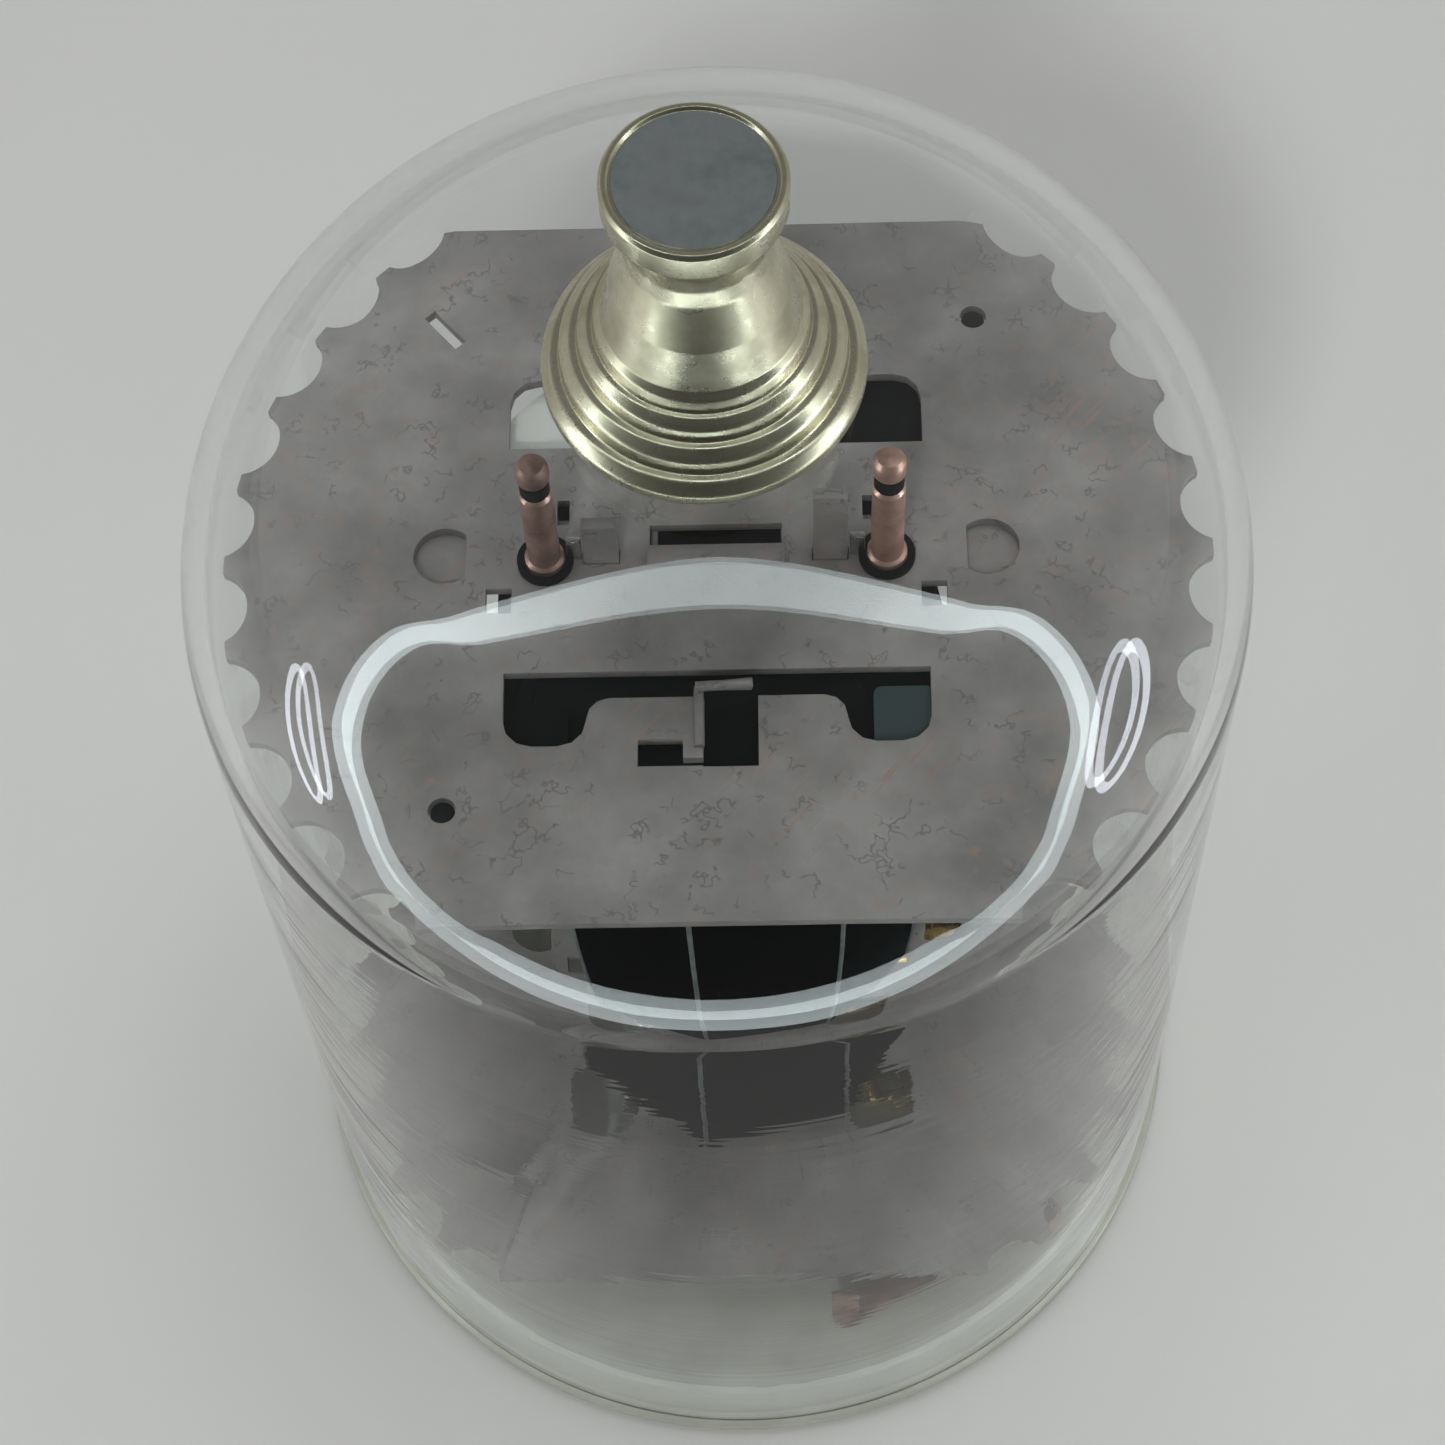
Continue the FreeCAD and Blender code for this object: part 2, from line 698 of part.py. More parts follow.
bridge_strap = box(
    "bridge_strap", "2 * bridge_half", "bridge_wide", "bridge_thick",
    "-bridge_half", "-bridge_wide / 2", "upper_top - plate_thick - bridge_thick",
)
bridge_holes = [
    cylinder("bridge_hole_%d" % n, "1.2", "4", "upper_top - 4", sign + "post_place", "-0.3")
    for n, sign in enumerate(("-", ""))
]
bridge_screw_holes = [
    cylinder("bridge_screw_hole_%d" % n, "1.65", "4", "upper_top - 4", x, y)
    for n, (x, y) in enumerate(BRIDGE_SCREWS)
]
lugs = [
    box(
        "lug_%d" % n, "lug_wide", "lug_thick", "plate_thick + %s" % rise,
        "%slug_place - lug_wide / 2" % sign, "-lug_thick / 2", "upper_top - plate_thick",
    )
    for n, (sign, rise) in enumerate((("-", "5.6"), ("", "9.6")))
]
bridge_blank = join("bridge_blank", bridge_strap, *lugs)
bridge_slot = box("bridge_slot", "10.1", "2.8", "4", "-4.8", "0.7", "upper_top - 4")
subpart(
    cut("bridge_cut", bridge_blank, bridge_slot, *bridge_holes, *bridge_screw_holes),
    "top_bridge",
)
screws = []
for n, (x, y) in enumerate(BRIDGE_SCREWS):
    head = cylinder("bridge_head_%d" % n, "1.6", "0.9", "upper_top - plate_thick - 0.95", x, y)
    stem = cylinder("bridge_stem_%d" % n, "0.8", "6.5", BRIDGE_BOTTOM + " - 6.4", x, y)
    screws.append(join("bridge_screw_%d" % n, head, stem))
subpart(group("bridge_screw_set", *screws), "bridge_screws")


def post(label, sign):
    """A copper post: riveted foot, plain shank, waist and domed head."""
    body = new_body(label + "_body")
    profile = sketch(body, label + "_profile", "XZ_Plane")
    outline(
        profile,
        [
            ("0", BRIDGE_BOTTOM + " - 0.6"), ("1.15", BRIDGE_BOTTOM + " - 0.6"),
            ("1.15", "upper_top + 0.05"), ("post_radius + 0.3", "upper_top + 0.05"),
            ("post_radius + 0.3", "upper_top + 1"), ("post_radius", "upper_top + 1.2"),
            ("post_radius", "upper_top + 10.8"), ("post_radius - 0.35", "upper_top + 11.2"),
            ("post_radius - 0.35", "upper_top + 12.9"), ("post_radius", "upper_top + 13.3"),
            ("post_radius", "upper_top + 14.6"), ("post_radius - 0.35", "upper_top + 15.2"),
            ("0", "upper_top + 15.4"),
        ],
    )
    item = body.newObject("PartDesign::Revolution", label + "_turn")
    item.Profile = profile
    item.ReferenceAxis = (profile, ["V_Axis"])
    item.Angle = 360
    place(body, sign + "post_place", "-0.3", "0")
    return body


subpart(post("post_left", "-"), "copper_post_left")
subpart(post("post_right", ""), "copper_post_right")
clips = [
    box("clip_%d" % n, "1.2", "0.7", "2.6", x, "-0.2", "upper_top + 0.05")
    for n, x in enumerate(("-lug_place - lug_wide / 2 - 1.4", "lug_place + lug_wide / 2 + 0.2"))
]
subpart(group("clip_set", *clips), "lug_clips")

rod = cylinder("rod", "rod_radius", "upper_top - 5 - lower_top + 0.3", "lower_top - 0.3")
subpart(rod, "tie_rod")
washer_disc = cylinder("washer_disc", "4", "0.8", BRIDGE_BOTTOM + " - 6.5")
washer_hole = cylinder("washer_hole", "rod_radius + 0.1", "0.8", BRIDGE_BOTTOM + " - 6.5")
subpart(cut("washer_cut", washer_disc, washer_hole), "tie_washer")
nut_body = new_body("nut_body")
nut_sketch = sketch(nut_body, "nut_sketch", "XY_Plane", BRIDGE_BOTTOM + " - 5.65")
NUT_FLAT = 2.75
NUT_SIDES = 6
nut_corners = []
for k in range(NUT_SIDES):
    nut_angle = 2 * math.pi * k / NUT_SIDES
    nut_reach = NUT_FLAT / math.cos(math.pi / NUT_SIDES)
    nut_corner = Vector(nut_reach * math.cos(nut_angle), nut_reach * math.sin(nut_angle), 0)
    nut_corners.append(("%.5f" % nut_corner.x, "%.5f" % nut_corner.y))
outline(nut_sketch, nut_corners)
ring(nut_sketch, "rod_radius")
pad(nut_body, nut_sketch, "2.4")
subpart(nut_body, "tie_nut")

# ---------------------------------------------------------------- pinned cylinder and its wheels
axis_z = size("axis_height")
cylinder_x = size("cylinder_start")


def pin_shapes():
    """Rows of brass pins, one row to each tooth of the comb, standing out of a cylinder whose axis is Z."""
    radius = size("cylinder_radius")
    notes = int(size("notes"))
    margin = (size("cylinder_long") - size("note_pitch") * notes) / 2
    pins = []
    beats = 24
    for note in range(notes):
        height = size("note_pitch") * (note + 0.5) + margin
        for beat in range(beats):
            if (note * 7 + beat * 5 + (note * beat) % 3) % 6:
                continue
            angle = 2 * math.pi * (beat + 0.37) / beats
            along = Vector(math.cos(angle), math.sin(angle), 0)
            start = along * (radius - 0.2) + Vector(0, 0, height)
            pins.append(Part.makeCylinder(size("pin_radius"), size("pin_long") + 0.2, start, along))
    return Part.makeCompound(pins)


tube = cylinder("tube", "cylinder_radius", "cylinder_long", "axis_height", "cylinder_start", "0", "x")
tube_bore = cylinder("tube_bore", "spindle", "cylinder_long", "axis_height", "cylinder_start", "0", "x")
subpart(cut("tube_cut", tube, tube_bore), "music_cylinder")
subpart(feature("pins", pin_shapes(), along_x(cylinder_x, 0, axis_z)), "cylinder_pins")
subpart(
    cylinder("cylinder_axle", "spindle", "24.2", "axis_height", "8.9", "0", "x"),
    "cylinder_arbor",
)
pinion = gear_shape(int(size("pinion_teeth")), size("crown_module"), 2.3, size("spindle"))
half_pinion_tooth = 180 / size("pinion_teeth")
subpart(feature("pinion", pinion, along_x(9.1, 0, axis_z, half_pinion_tooth)), "cylinder_pinion")

mesh_distance = size("fine_module") * (size("wheel_teeth") + size("small_teeth")) / 2
drop = math.radians(size("mesh_drop"))
second_y = -mesh_distance * math.cos(drop)
second_z = axis_z - mesh_distance * math.sin(drop)
toward_second = -(90 - size("mesh_drop"))
wheel = gear_shape(int(size("wheel_teeth")), size("fine_module"), 0.8, size("spindle"))
wheel_x = size("wheel_place") - 0.4
subpart(feature("wheel", wheel, along_x(wheel_x, 0, axis_z, toward_second)), "cylinder_wheel")

small_x = size("wheel_place") - 0.7
small = gear_shape(int(size("small_teeth")), size("fine_module"), 1.4, 0.4)
back_to_first = toward_second + 180 + 180 / size("small_teeth")
subpart(feature("small", small, along_x(small_x, second_y, second_z, back_to_first)), "transfer_pinion")
subpart(
    feature("second_axle", Part.makeCylinder(0.4, 6.9), along_x(29.9, second_y, second_z)),
    "transfer_arbor",
)
worm_x = size("worm_place")
worm_wheel = gear_shape(int(size("worm_teeth")), size("worm_module"), 0.5, 0.4)
worm_turn = -90 + 180 / size("worm_teeth")
subpart(
    feature("worm_wheel", worm_wheel, along_x(worm_x - 0.25, second_y, second_z, worm_turn)),
    "worm_wheel",
)
worm_y = second_y - size("worm_module") * size("worm_teeth") / 2 - size("worm_radius") - 0.05


PIVOT_RADIUS = 0.35
PIVOT_TOP = 17.45


def worm_shape():
    """The governor's spindle with one right-handed thread, whose crest meets the wheel's teeth."""
    pitch = math.pi * size("worm_module")
    core = size("worm_radius") - 0.3
    turns = 2
    low = second_z - pitch * turns / 2
    helix = Part.makeHelix(pitch, pitch * turns, core)
    helix.Placement = Placement(Vector(0, 0, low), Rotation())
    corners = [
        Vector(core - 0.08, 0, low - 0.15), Vector(core + 0.45, 0, low - 0.05),
        Vector(core + 0.45, 0, low + 0.05), Vector(core - 0.08, 0, low + 0.15),
    ]
    profile = Part.makePolygon(corners + corners[:1])
    thread = Part.Wire(helix.Edges).makePipeShell([profile], True, True)
    stem = Part.makeCylinder(core, pitch * turns + 0.5, Vector(0, 0, low - 0.1))
    pivot_low = size("floor_top") + 0.5
    pivot = Part.makeCylinder(PIVOT_RADIUS, PIVOT_TOP - pivot_low, Vector(0, 0, pivot_low))
    body = stem.fuse(pivot).fuse(thread)
    body.rotate(Vector(0, 0, 0), Vector(0, 0, 1), 90)
    return body


subpart(feature("worm", worm_shape(), Placement(Vector(worm_x, worm_y, 0), Rotation())), "governor_worm")
FLY_LOW = 13.8
FLY_TALL = 2.9
FLY_SPAN = 8.0
FLY_BLADE = 0.3
FLY_TURN = 35
fly_hub = Part.makeCylinder(0.9, FLY_TALL, Vector(0, 0, FLY_LOW))
fly_blade = Part.makeBox(FLY_SPAN, FLY_BLADE, 2.7, Vector(-FLY_SPAN / 2, -FLY_BLADE / 2, FLY_LOW + 0.1))
fly = fly_hub.fuse(fly_blade).cut(Part.makeCylinder(PIVOT_RADIUS, FLY_TALL, Vector(0, 0, FLY_LOW)))
fly_place = Placement(Vector(worm_x, worm_y, 0), Rotation(Vector(0, 0, 1), FLY_TURN))
subpart(feature("fly", fly, fly_place), "governor_fly")

# ---------------------------------------------------------------- bedplate, brackets and comb
bed_block = box("bed_block", "52", "34", "bed_thick", "-14", "-14", "floor_top")
bed_disc = cylinder("bed_disc", "pan_wall_outer - 1.2", "bed_thick", "floor_top")
bed_round = common("bed_round", bed_block, bed_disc)
bed_well = cylinder("bed_well", "wheel_outer + 0.7", "4", "floor_top - 1")
bed_window = box("bed_window", "19", "11.6", "4", "13.1", "-6.7", "floor_top - 1")
bed_slot = box("bed_slot", "2.6", "4.9", "4", "33.2", str(second_y - 2.45), "floor_top - 1")
bed_pivot = cylinder("bed_pivot", "0.4", "1.2", "floor_top + 0.4", "worm_place", str(worm_y))
BED_SCREWS = ((-10.5, -11), (-10.5, 17), (26, -11.5))
bed_screw_holes = [
    cylinder("bed_screw_hole_%d" % n, "1.05", "4", "floor_top - 1", str(x), str(y))
    for n, (x, y) in enumerate(BED_SCREWS)
]
FRAME_SCREWS = ((15.2, -9), (35.2, 6.8))
frame_screw_holes = [
    cylinder("frame_screw_hole_%d" % n, "0.75", "4", "floor_top - 1", str(x), str(y))
    for n, (x, y) in enumerate(FRAME_SCREWS)
]
bed_holes = bed_screw_holes + frame_screw_holes
subpart(cut("bed_cut", bed_round, bed_well, bed_window, bed_slot, bed_pivot, *bed_holes), "bedplate")


def screw_set(label, places, head_radius, head_tall, stem_radius, bottom, seat):
    """Equal screws with slotted heads, as separate solids under one name."""
    solids = []
    for n, (x, y) in enumerate(places):
        name = "%s_%d_" % (label, n)
        head = cylinder(name + "head", str(head_radius), str(head_tall), str(seat), str(x), str(y))
        stem = cylinder(name + "stem", str(stem_radius), str(seat - bottom), str(bottom), str(x), str(y))
        slot = box(
            name + "slot", str(2.4 * head_radius), "0.5", "1",
            str(x - 1.2 * head_radius), str(y - 0.25), str(seat + head_tall - 0.45),
        )
        solids.append(cut(name + "cut", join(name + "join", head, stem), slot))
    return group(label + "_set", *solids)


bed_top = size("floor_top") + size("bed_thick")
subpart(screw_set("bed_screw", BED_SCREWS, 1.9, 1.2, 1.0, size("floor_top"), bed_top), "bedplate_screws")

front_upright = box("front_upright", "0.8", "14", "5.4", "12.25", "-11", str(bed_top))
front_foot = box("front_foot", "5.5", "4", "0.8", "12.25", "-11", str(bed_top))
front_bore = cylinder("front_bore", "spindle + running", "3", "axis_height", "11", "0", "x")
front_x, front_y = FRAME_SCREWS[0]
front_hole = cylinder("front_hole", "0.75", "3", str(bed_top - 1), str(front_x), str(front_y))
front_join = join("front_join", front_upright, front_foot)
subpart(cut("front_cut", front_join, front_bore, front_hole), "cylinder_bracket")

cheek_upright = box("cheek_upright", "0.7", "11.4", "5.4", "32.2", "-2.4", str(bed_top))
cheek_low = box("cheek_low", "0.7", "4.4", "3.3", "32.2", "-6.6", str(bed_top))
cheek_foot = box("cheek_foot", "4.6", "4.6", "0.8", "32.2", "4.4", str(bed_top))
cheek_bore = cylinder("cheek_bore", "spindle + running", "3", "axis_height", "31", "0", "x")
cheek_small = cylinder("cheek_small", "0.45", "3", str(second_z), "31", str(second_y), "x")
cheek_x, cheek_y = FRAME_SCREWS[1]
cheek_hole = cylinder("cheek_hole", "0.75", "3", str(bed_top - 1), str(cheek_x), str(cheek_y))
cheek_join = join("cheek_join", cheek_upright, cheek_low, cheek_foot)
subpart(cut("cheek_cut", cheek_join, cheek_bore, cheek_small, cheek_hole), "gear_cheek")

frame_base = box("frame_base", "3.6", "2.6", "0.6", "33.2", "-13.9", str(bed_top))
frame_post = box("frame_post", "3", "0.8", "7.9", "33.2", "-13.9", str(bed_top))
frame_arm = box("frame_arm", "2.4", "8", "0.6", "33.3", "-13.9", str(bed_top + 7.3))
frame_side = box("frame_side", "0.6", "11.6", "0.6", "36.2", "-13.9", str(bed_top))
frame_cheek = box("frame_cheek", "0.6", "5.2", "3.4", "36.2", str(second_y - 2.9), str(bed_top))
frame_pivot = cylinder("frame_pivot", "0.4", "4", str(bed_top + 6), "worm_place", str(worm_y))
frame_small = cylinder("frame_small", "0.45", "3", str(second_z), "35.5", str(second_y), "x")
frame_join = join("frame_join", frame_base, frame_post, frame_arm, frame_side, frame_cheek)
subpart(cut("frame_cut", frame_join, frame_pivot, frame_small), "governor_frame")

frame_screws = screw_set("frame_screw", FRAME_SCREWS, 1.1, 0.8, 0.7, bed_top - 1.2, bed_top + 0.8)
subpart(frame_screws, "bracket_screws")

comb_x = cylinder_x + (size("cylinder_long") - size("note_pitch") * size("notes")) / 2
comb_wide = size("note_pitch") * size("notes")
comb_tip = size("cylinder_radius") + size("pin_long") + size("comb_gap")
REED_LONG = 8.2
COMB_BACK = 18.4
HEEL_SPARE = 0.6
comb_root = comb_tip + REED_LONG
heel_wide = comb_wide + 2 * HEEL_SPARE
heel_long = COMB_BACK - comb_root
riser_top = axis_z - size("comb_thick") / 2
riser = box(
    "riser", str(heel_wide), str(heel_long), str(riser_top - bed_top),
    str(comb_x - HEEL_SPARE), str(comb_root), str(bed_top),
)
COMB_SCREWS = ((comb_x + 3, comb_root + 2.7), (comb_x + comb_wide - 3, comb_root + 2.7))
riser_holes = [
    cylinder("riser_hole_%d" % n, "0.95", "3", str(riser_top - 2.2), str(x), str(y))
    for n, (x, y) in enumerate(COMB_SCREWS)
]
subpart(cut("riser_cut", riser, *riser_holes), "comb_riser")


def comb_shape():
    """A steel comb: a solid heel and one reed for each note."""
    heel_corner = Vector(comb_x - HEEL_SPARE, comb_root, riser_top)
    heel = Part.makeBox(heel_wide, heel_long, size("comb_thick"), heel_corner)
    reeds = []
    for note in range(int(size("notes"))):
        x = comb_x + size("note_pitch") * (note + 0.5)
        wide = size("note_pitch") * 0.72
        tall = size("comb_thick") * 0.6
        corner = Vector(x - wide / 2, comb_tip, axis_z - tall / 2)
        reeds.append(Part.makeBox(wide, REED_LONG + 0.2, tall, corner))
    blank = heel.multiFuse(reeds)
    holes = [Part.makeCylinder(0.95, 3, Vector(x, y, riser_top - 1)) for x, y in COMB_SCREWS]
    return blank.cut(holes)


subpart(feature("comb", comb_shape()), "music_comb")
comb_top = riser_top + size("comb_thick")
subpart(screw_set("comb_screw", COMB_SCREWS, 1.7, 1.0, 0.9, riser_top - 2, comb_top), "comb_screws")

# ---------------------------------------------------------------- stop lever
LEVER_X = 29.0
LEVER_Y = -24.0
lever_z = size("floor_top") + 2.2
stud = cylinder("stud", "1.1", "2.2", "floor_top", str(LEVER_X), str(LEVER_Y))
stud_neck = cylinder("stud_neck", "0.75", "1.2", "floor_top + 2.2", str(LEVER_X), str(LEVER_Y))
stud_head = cylinder("stud_head", "1.7", "0.6", "floor_top + 3.4", str(LEVER_X), str(LEVER_Y))
subpart(join("stud_join", stud, stud_neck, stud_head), "lever_stud")


def lever_shape():
    """A flat two-armed lever: an upright finger at one end, a brake tab near the fly at the other."""
    thick = 0.8
    low = lever_z + 0.15
    finger = Vector(9.8, -33.6, 0)
    tab = Vector(29.2, worm_y - 0.3, 0)
    pivot = Vector(LEVER_X, LEVER_Y, 0)
    solids = [Part.makeCylinder(2.3, thick, Vector(LEVER_X, LEVER_Y, low))]
    for end, wide in ((finger, 2.6), (tab, 1.8)):
        along = end - pivot
        across = Vector(-along.y, along.x, 0).normalize() * (wide / 2)
        corners = [pivot + across, end + across, end - across, pivot - across]
        lifted = [corner + Vector(0, 0, low) for corner in corners]
        solids.append(Part.Face(Part.makePolygon(lifted + lifted[:1])).extrude(Vector(0, 0, thick)))
        solids.append(Part.makeCylinder(wide / 2, thick, end + Vector(0, 0, low)))
    solids.append(Part.makeBox(2.6, 0.8, 5.6, finger + Vector(-1.3, -0.4, low)))
    solids.append(Part.makeBox(0.8, 1.8, 5.0, tab + Vector(-0.4, -0.9, low)))
    blank = solids[0].multiFuse(solids[1:])
    return blank.cut(Part.makeCylinder(0.8, 3, Vector(LEVER_X, LEVER_Y, low - 1)))


subpart(feature("lever", lever_shape()), "stop_lever")

# ---------------------------------------------------------------- cover and knob


def dome(name, shrink):
    """A round-shouldered domed solid, smaller all over by a rule."""
    wall = cylinder(name + "_wall", "cover_outer - %s" % shrink, "dome_top - cover_bottom", "cover_bottom")
    crown_ball = doc.addObject("Part::Sphere", name + "_ball")
    bind(crown_ball, "Radius", "dome_sphere - %s" % shrink)
    bind(crown_ball, "Placement.Base.z", "dome_top - dome_sphere")
    shell = common(name + "_shell", wall, crown_ball)
    doc.recompute()
    shoulder = doc.addObject("Part::Fillet", name + "_shoulder")
    shoulder.Base = shell
    edges = shell.Shape.Edges
    rounds = [n for n in range(len(edges)) if edges[n].BoundBox.XLength > size("cover_outer")]
    rim = max(rounds, key=lambda n: edges[n].BoundBox.ZMin)
    radius = size("shoulder_round") - value_of(shrink)
    shoulder.Edges = [(rim + 1, radius, radius)]
    return shoulder


cover_bore = cylinder("cover_bore_tool", "cover_bore", "10", "dome_top - 6")
subpart(cut("cover_cut", dome("cover_out", "0"), dome("cover_in", "cover_wall"), cover_bore), "glass_cover")

KNOB_BASE = "dome_top + felt_thick"
subpart(
    turned(
        "knob_felt",
        [
            ("stud_radius + 0.1", "dome_top"), ("8", "dome_top"),
            ("8", KNOB_BASE), ("stud_radius + 0.1", KNOB_BASE),
        ],
    ),
    "knob_felt",
)
knob_profile = [
    ("stud_radius", "0"), ("knob_flange - 0.4", "0"), ("knob_flange", "0.5"), ("knob_flange", "1.4"),
    ("knob_flange - 0.6", "2.1"), ("knob_flange - 1.5", "2.5"), ("knob_flange - 1.6", "3.2"),
    ("knob_flange - 1.9", "4.1"), ("knob_flange - 2.8", "4.7"), ("knob_flange - 3", "5.4"),
    ("knob_flange - 3.4", "6.3"), ("knob_flange - 4.3", "7"), ("knob_flange - 4.6", "7.6"),
    ("knob_flange - 4.9", "9.2"), ("knob_flange - 5.6", "11.6"), ("knob_neck + 0.9", "13.4"),
    ("knob_neck + 0.2", "15.4"), ("knob_neck", "17"), ("knob_neck + 0.1", "19"),
    ("knob_neck + 0.7", "20.6"),
    ("knob_top", "21.8"), ("knob_top", "knob_tall - 0.6"), ("knob_top - 0.6", "knob_tall"),
    ("knob_top - 0.9", "knob_tall"), ("knob_top - 1.1", "knob_tall - 0.25"), ("0", "knob_tall - 0.25"),
    ("0", "11"), ("stud_radius", "11"),
]
subpart(
    turned("knob", [(across, "%s + %s" % (KNOB_BASE, up)) for across, up in knob_profile]),
    "cover_knob",
)
inner_top = "dome_top - cover_wall"
subpart(
    turned(
        "knob_washer",
        [
            ("stud_radius + 0.1", inner_top + " - 1"), ("5", inner_top + " - 1"),
            ("5", inner_top + " - 0.2"), ("stud_radius + 0.1", inner_top + " - 0.2"),
        ],
    ),
    "knob_washer",
)
subpart(
    turned(
        "knob_stud",
        [
            ("0", inner_top + " - 2.9"), ("2.4", inner_top + " - 2.9"), ("3.4", inner_top + " - 2.2"),
            ("3.4", inner_top + " - 1"), ("stud_radius", inner_top + " - 1"),
            ("stud_radius", "dome_top + 9"),
            ("0", "dome_top + 9"),
        ],
    ),
    "knob_screw",
)

# ---------------------------------------------------------------- checks and files
doc.recompute()
for item in doc.Objects:
    if "Invalid" in item.State or "Error" in item.State:
        raise RuntimeError("failed: %s %s" % (item.Name, item.State))
for item in SUBPARTS:
    shape = item.Shape
    if shape.isNull() or not shape.isValid() or not shape.Solids:
        raise RuntimeError("bad shape: " + item.Label)

os.makedirs("parts", exist_ok=True)
for old in os.listdir("parts"):
    os.remove(os.path.join("parts", old))
for item in SUBPARTS:
    item.Shape.exportStep(os.path.join("parts", item.Label + ".step"))
    print(item.Label, len(item.Shape.Solids), round(item.Shape.Volume, 1))
print(len(SUBPARTS), "files")
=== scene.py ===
import logging
import math
from dataclasses import dataclass, field
from enum import Enum

import bmesh
import bpy
from mathutils import Matrix, Vector


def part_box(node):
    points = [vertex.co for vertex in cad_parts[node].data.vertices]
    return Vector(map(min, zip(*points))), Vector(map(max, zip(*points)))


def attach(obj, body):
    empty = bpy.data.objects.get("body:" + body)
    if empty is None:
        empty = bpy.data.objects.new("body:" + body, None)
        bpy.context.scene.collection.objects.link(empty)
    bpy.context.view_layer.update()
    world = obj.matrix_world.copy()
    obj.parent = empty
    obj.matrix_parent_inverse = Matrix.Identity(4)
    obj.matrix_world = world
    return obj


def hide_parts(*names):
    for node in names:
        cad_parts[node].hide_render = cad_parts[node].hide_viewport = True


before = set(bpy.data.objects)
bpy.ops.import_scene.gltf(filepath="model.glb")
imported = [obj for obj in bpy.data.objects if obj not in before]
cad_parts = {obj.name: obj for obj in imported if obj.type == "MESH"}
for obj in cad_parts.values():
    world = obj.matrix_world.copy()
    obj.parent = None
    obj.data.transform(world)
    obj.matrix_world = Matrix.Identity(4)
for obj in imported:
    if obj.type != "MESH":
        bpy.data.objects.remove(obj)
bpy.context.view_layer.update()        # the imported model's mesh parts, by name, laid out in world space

# A wind up music box: a clear domed cover with a turned knob, two bitten steel plates on a mirrored
# column, and a spring movement in an enamelled pan. Lengths in the classes are millimetres.

MM = 0.001
WAVE_RADIANS = 20  # the phase that a wave texture turns through in one unit
EDGE_ANGLE = math.radians(35)  # sharper edges than this are rounded and kept crisp
LOG = logging.getLogger("music_box")


class Body(Enum):
    """The bodies of the frame that new pieces ride on."""

    CAROUSEL = "carousel"
    COVER = "cover"


class Slot(Enum):
    """The material slots of the record."""

    FELT = "felt_dark"
    PAN = "pan_enamel"
    BRASS = "turned_brass"
    LID = "lid_nickel"
    BED = "bed_zinc"
    KEY = "key_steel"
    BRIGHT = "bright_steel"
    SPRING = "spring_blue"
    COMB = "comb_steel"
    BLACK = "black_plastic"
    PLATE = "plate_steel"
    WOOD = "core_wood"
    MIRROR = "mirror_glass"
    COPPER = "copper_plate"
    CLEAR = "clear_cover"
    KNOB = "knob_gold"
    RUBBER = "washer_rubber"


class Grain(Enum):
    """The way that the last tool left a metal's surface."""

    TURNED_UPRIGHT = "turned about the upright axis"
    GROUND = "ground along one direction"
    PLAIN = "rolled or plated, with no direction"


# -------------------------------- small tools


def linear(code: str) -> tuple[float, float, float, float]:
    """Turns an sRGB hex colour to linear.

    Args:
        code: six hex digits after a hash.

    Returns:
        The linear red, green, blue and an alpha of 1.
    """
    shares = [int(code[k:k + 2], 16) / 255 for k in (1, 3, 5)]
    parts = [s / 12.92 if s <= 0.04045 else ((s + 0.055) / 1.055) ** 2.4 for s in shares]
    return (*parts, 1.0)


def per_mm(size: float) -> float:
    """The texture scale whose features are this many millimetres across."""
    return 1 / (size * MM)


def add(tree: bpy.types.NodeTree, kind: str, inputs: dict | None = None, **settings) -> bpy.types.Node:
    """Adds a node to a tree.

    Args:
        tree: the node tree.
        kind: the node's type.
        inputs: a value or another node's output for each socket, by name or number.
        **settings: properties of the node itself.

    Returns:
        The new node.
    """
    node = tree.nodes.new(kind)
    for name, value in settings.items():
        setattr(node, name, value)
    for name, value in (inputs or {}).items():
        if isinstance(value, bpy.types.NodeSocket):
            tree.links.new(value, node.inputs[name])
        else:
            node.inputs[name].default_value = value
    return node


def ramp(tree: bpy.types.NodeTree, factor: bpy.types.NodeSocket,
         stops: list[tuple[float, tuple]]) -> bpy.types.NodeSocket:
    """Turns a factor into a colour by stops.

    Args:
        tree: the node tree.
        factor: the value that is looked up.
        stops: pairs of place and linear colour, lowest first.

    Returns:
        The colour output.
    """
    node = add(tree, "ShaderNodeValToRGB", {"Fac": factor})
    band = node.color_ramp
    while len(band.elements) < len(stops):
        band.elements.new(0.5)
    for element, (place, colour) in zip(band.elements, stops):
        element.position = place
        element.color = colour
    return node.outputs["Color"]


def grey(value: float) -> tuple[float, float, float, float]:
    """A linear grey."""
    return (value, value, value, 1.0)


def move(x: float, y: float, z: float) -> Vector:
    """A place in metres from millimetres."""
    return Vector((x, y, z)) * MM


# -------------------------------- finishes


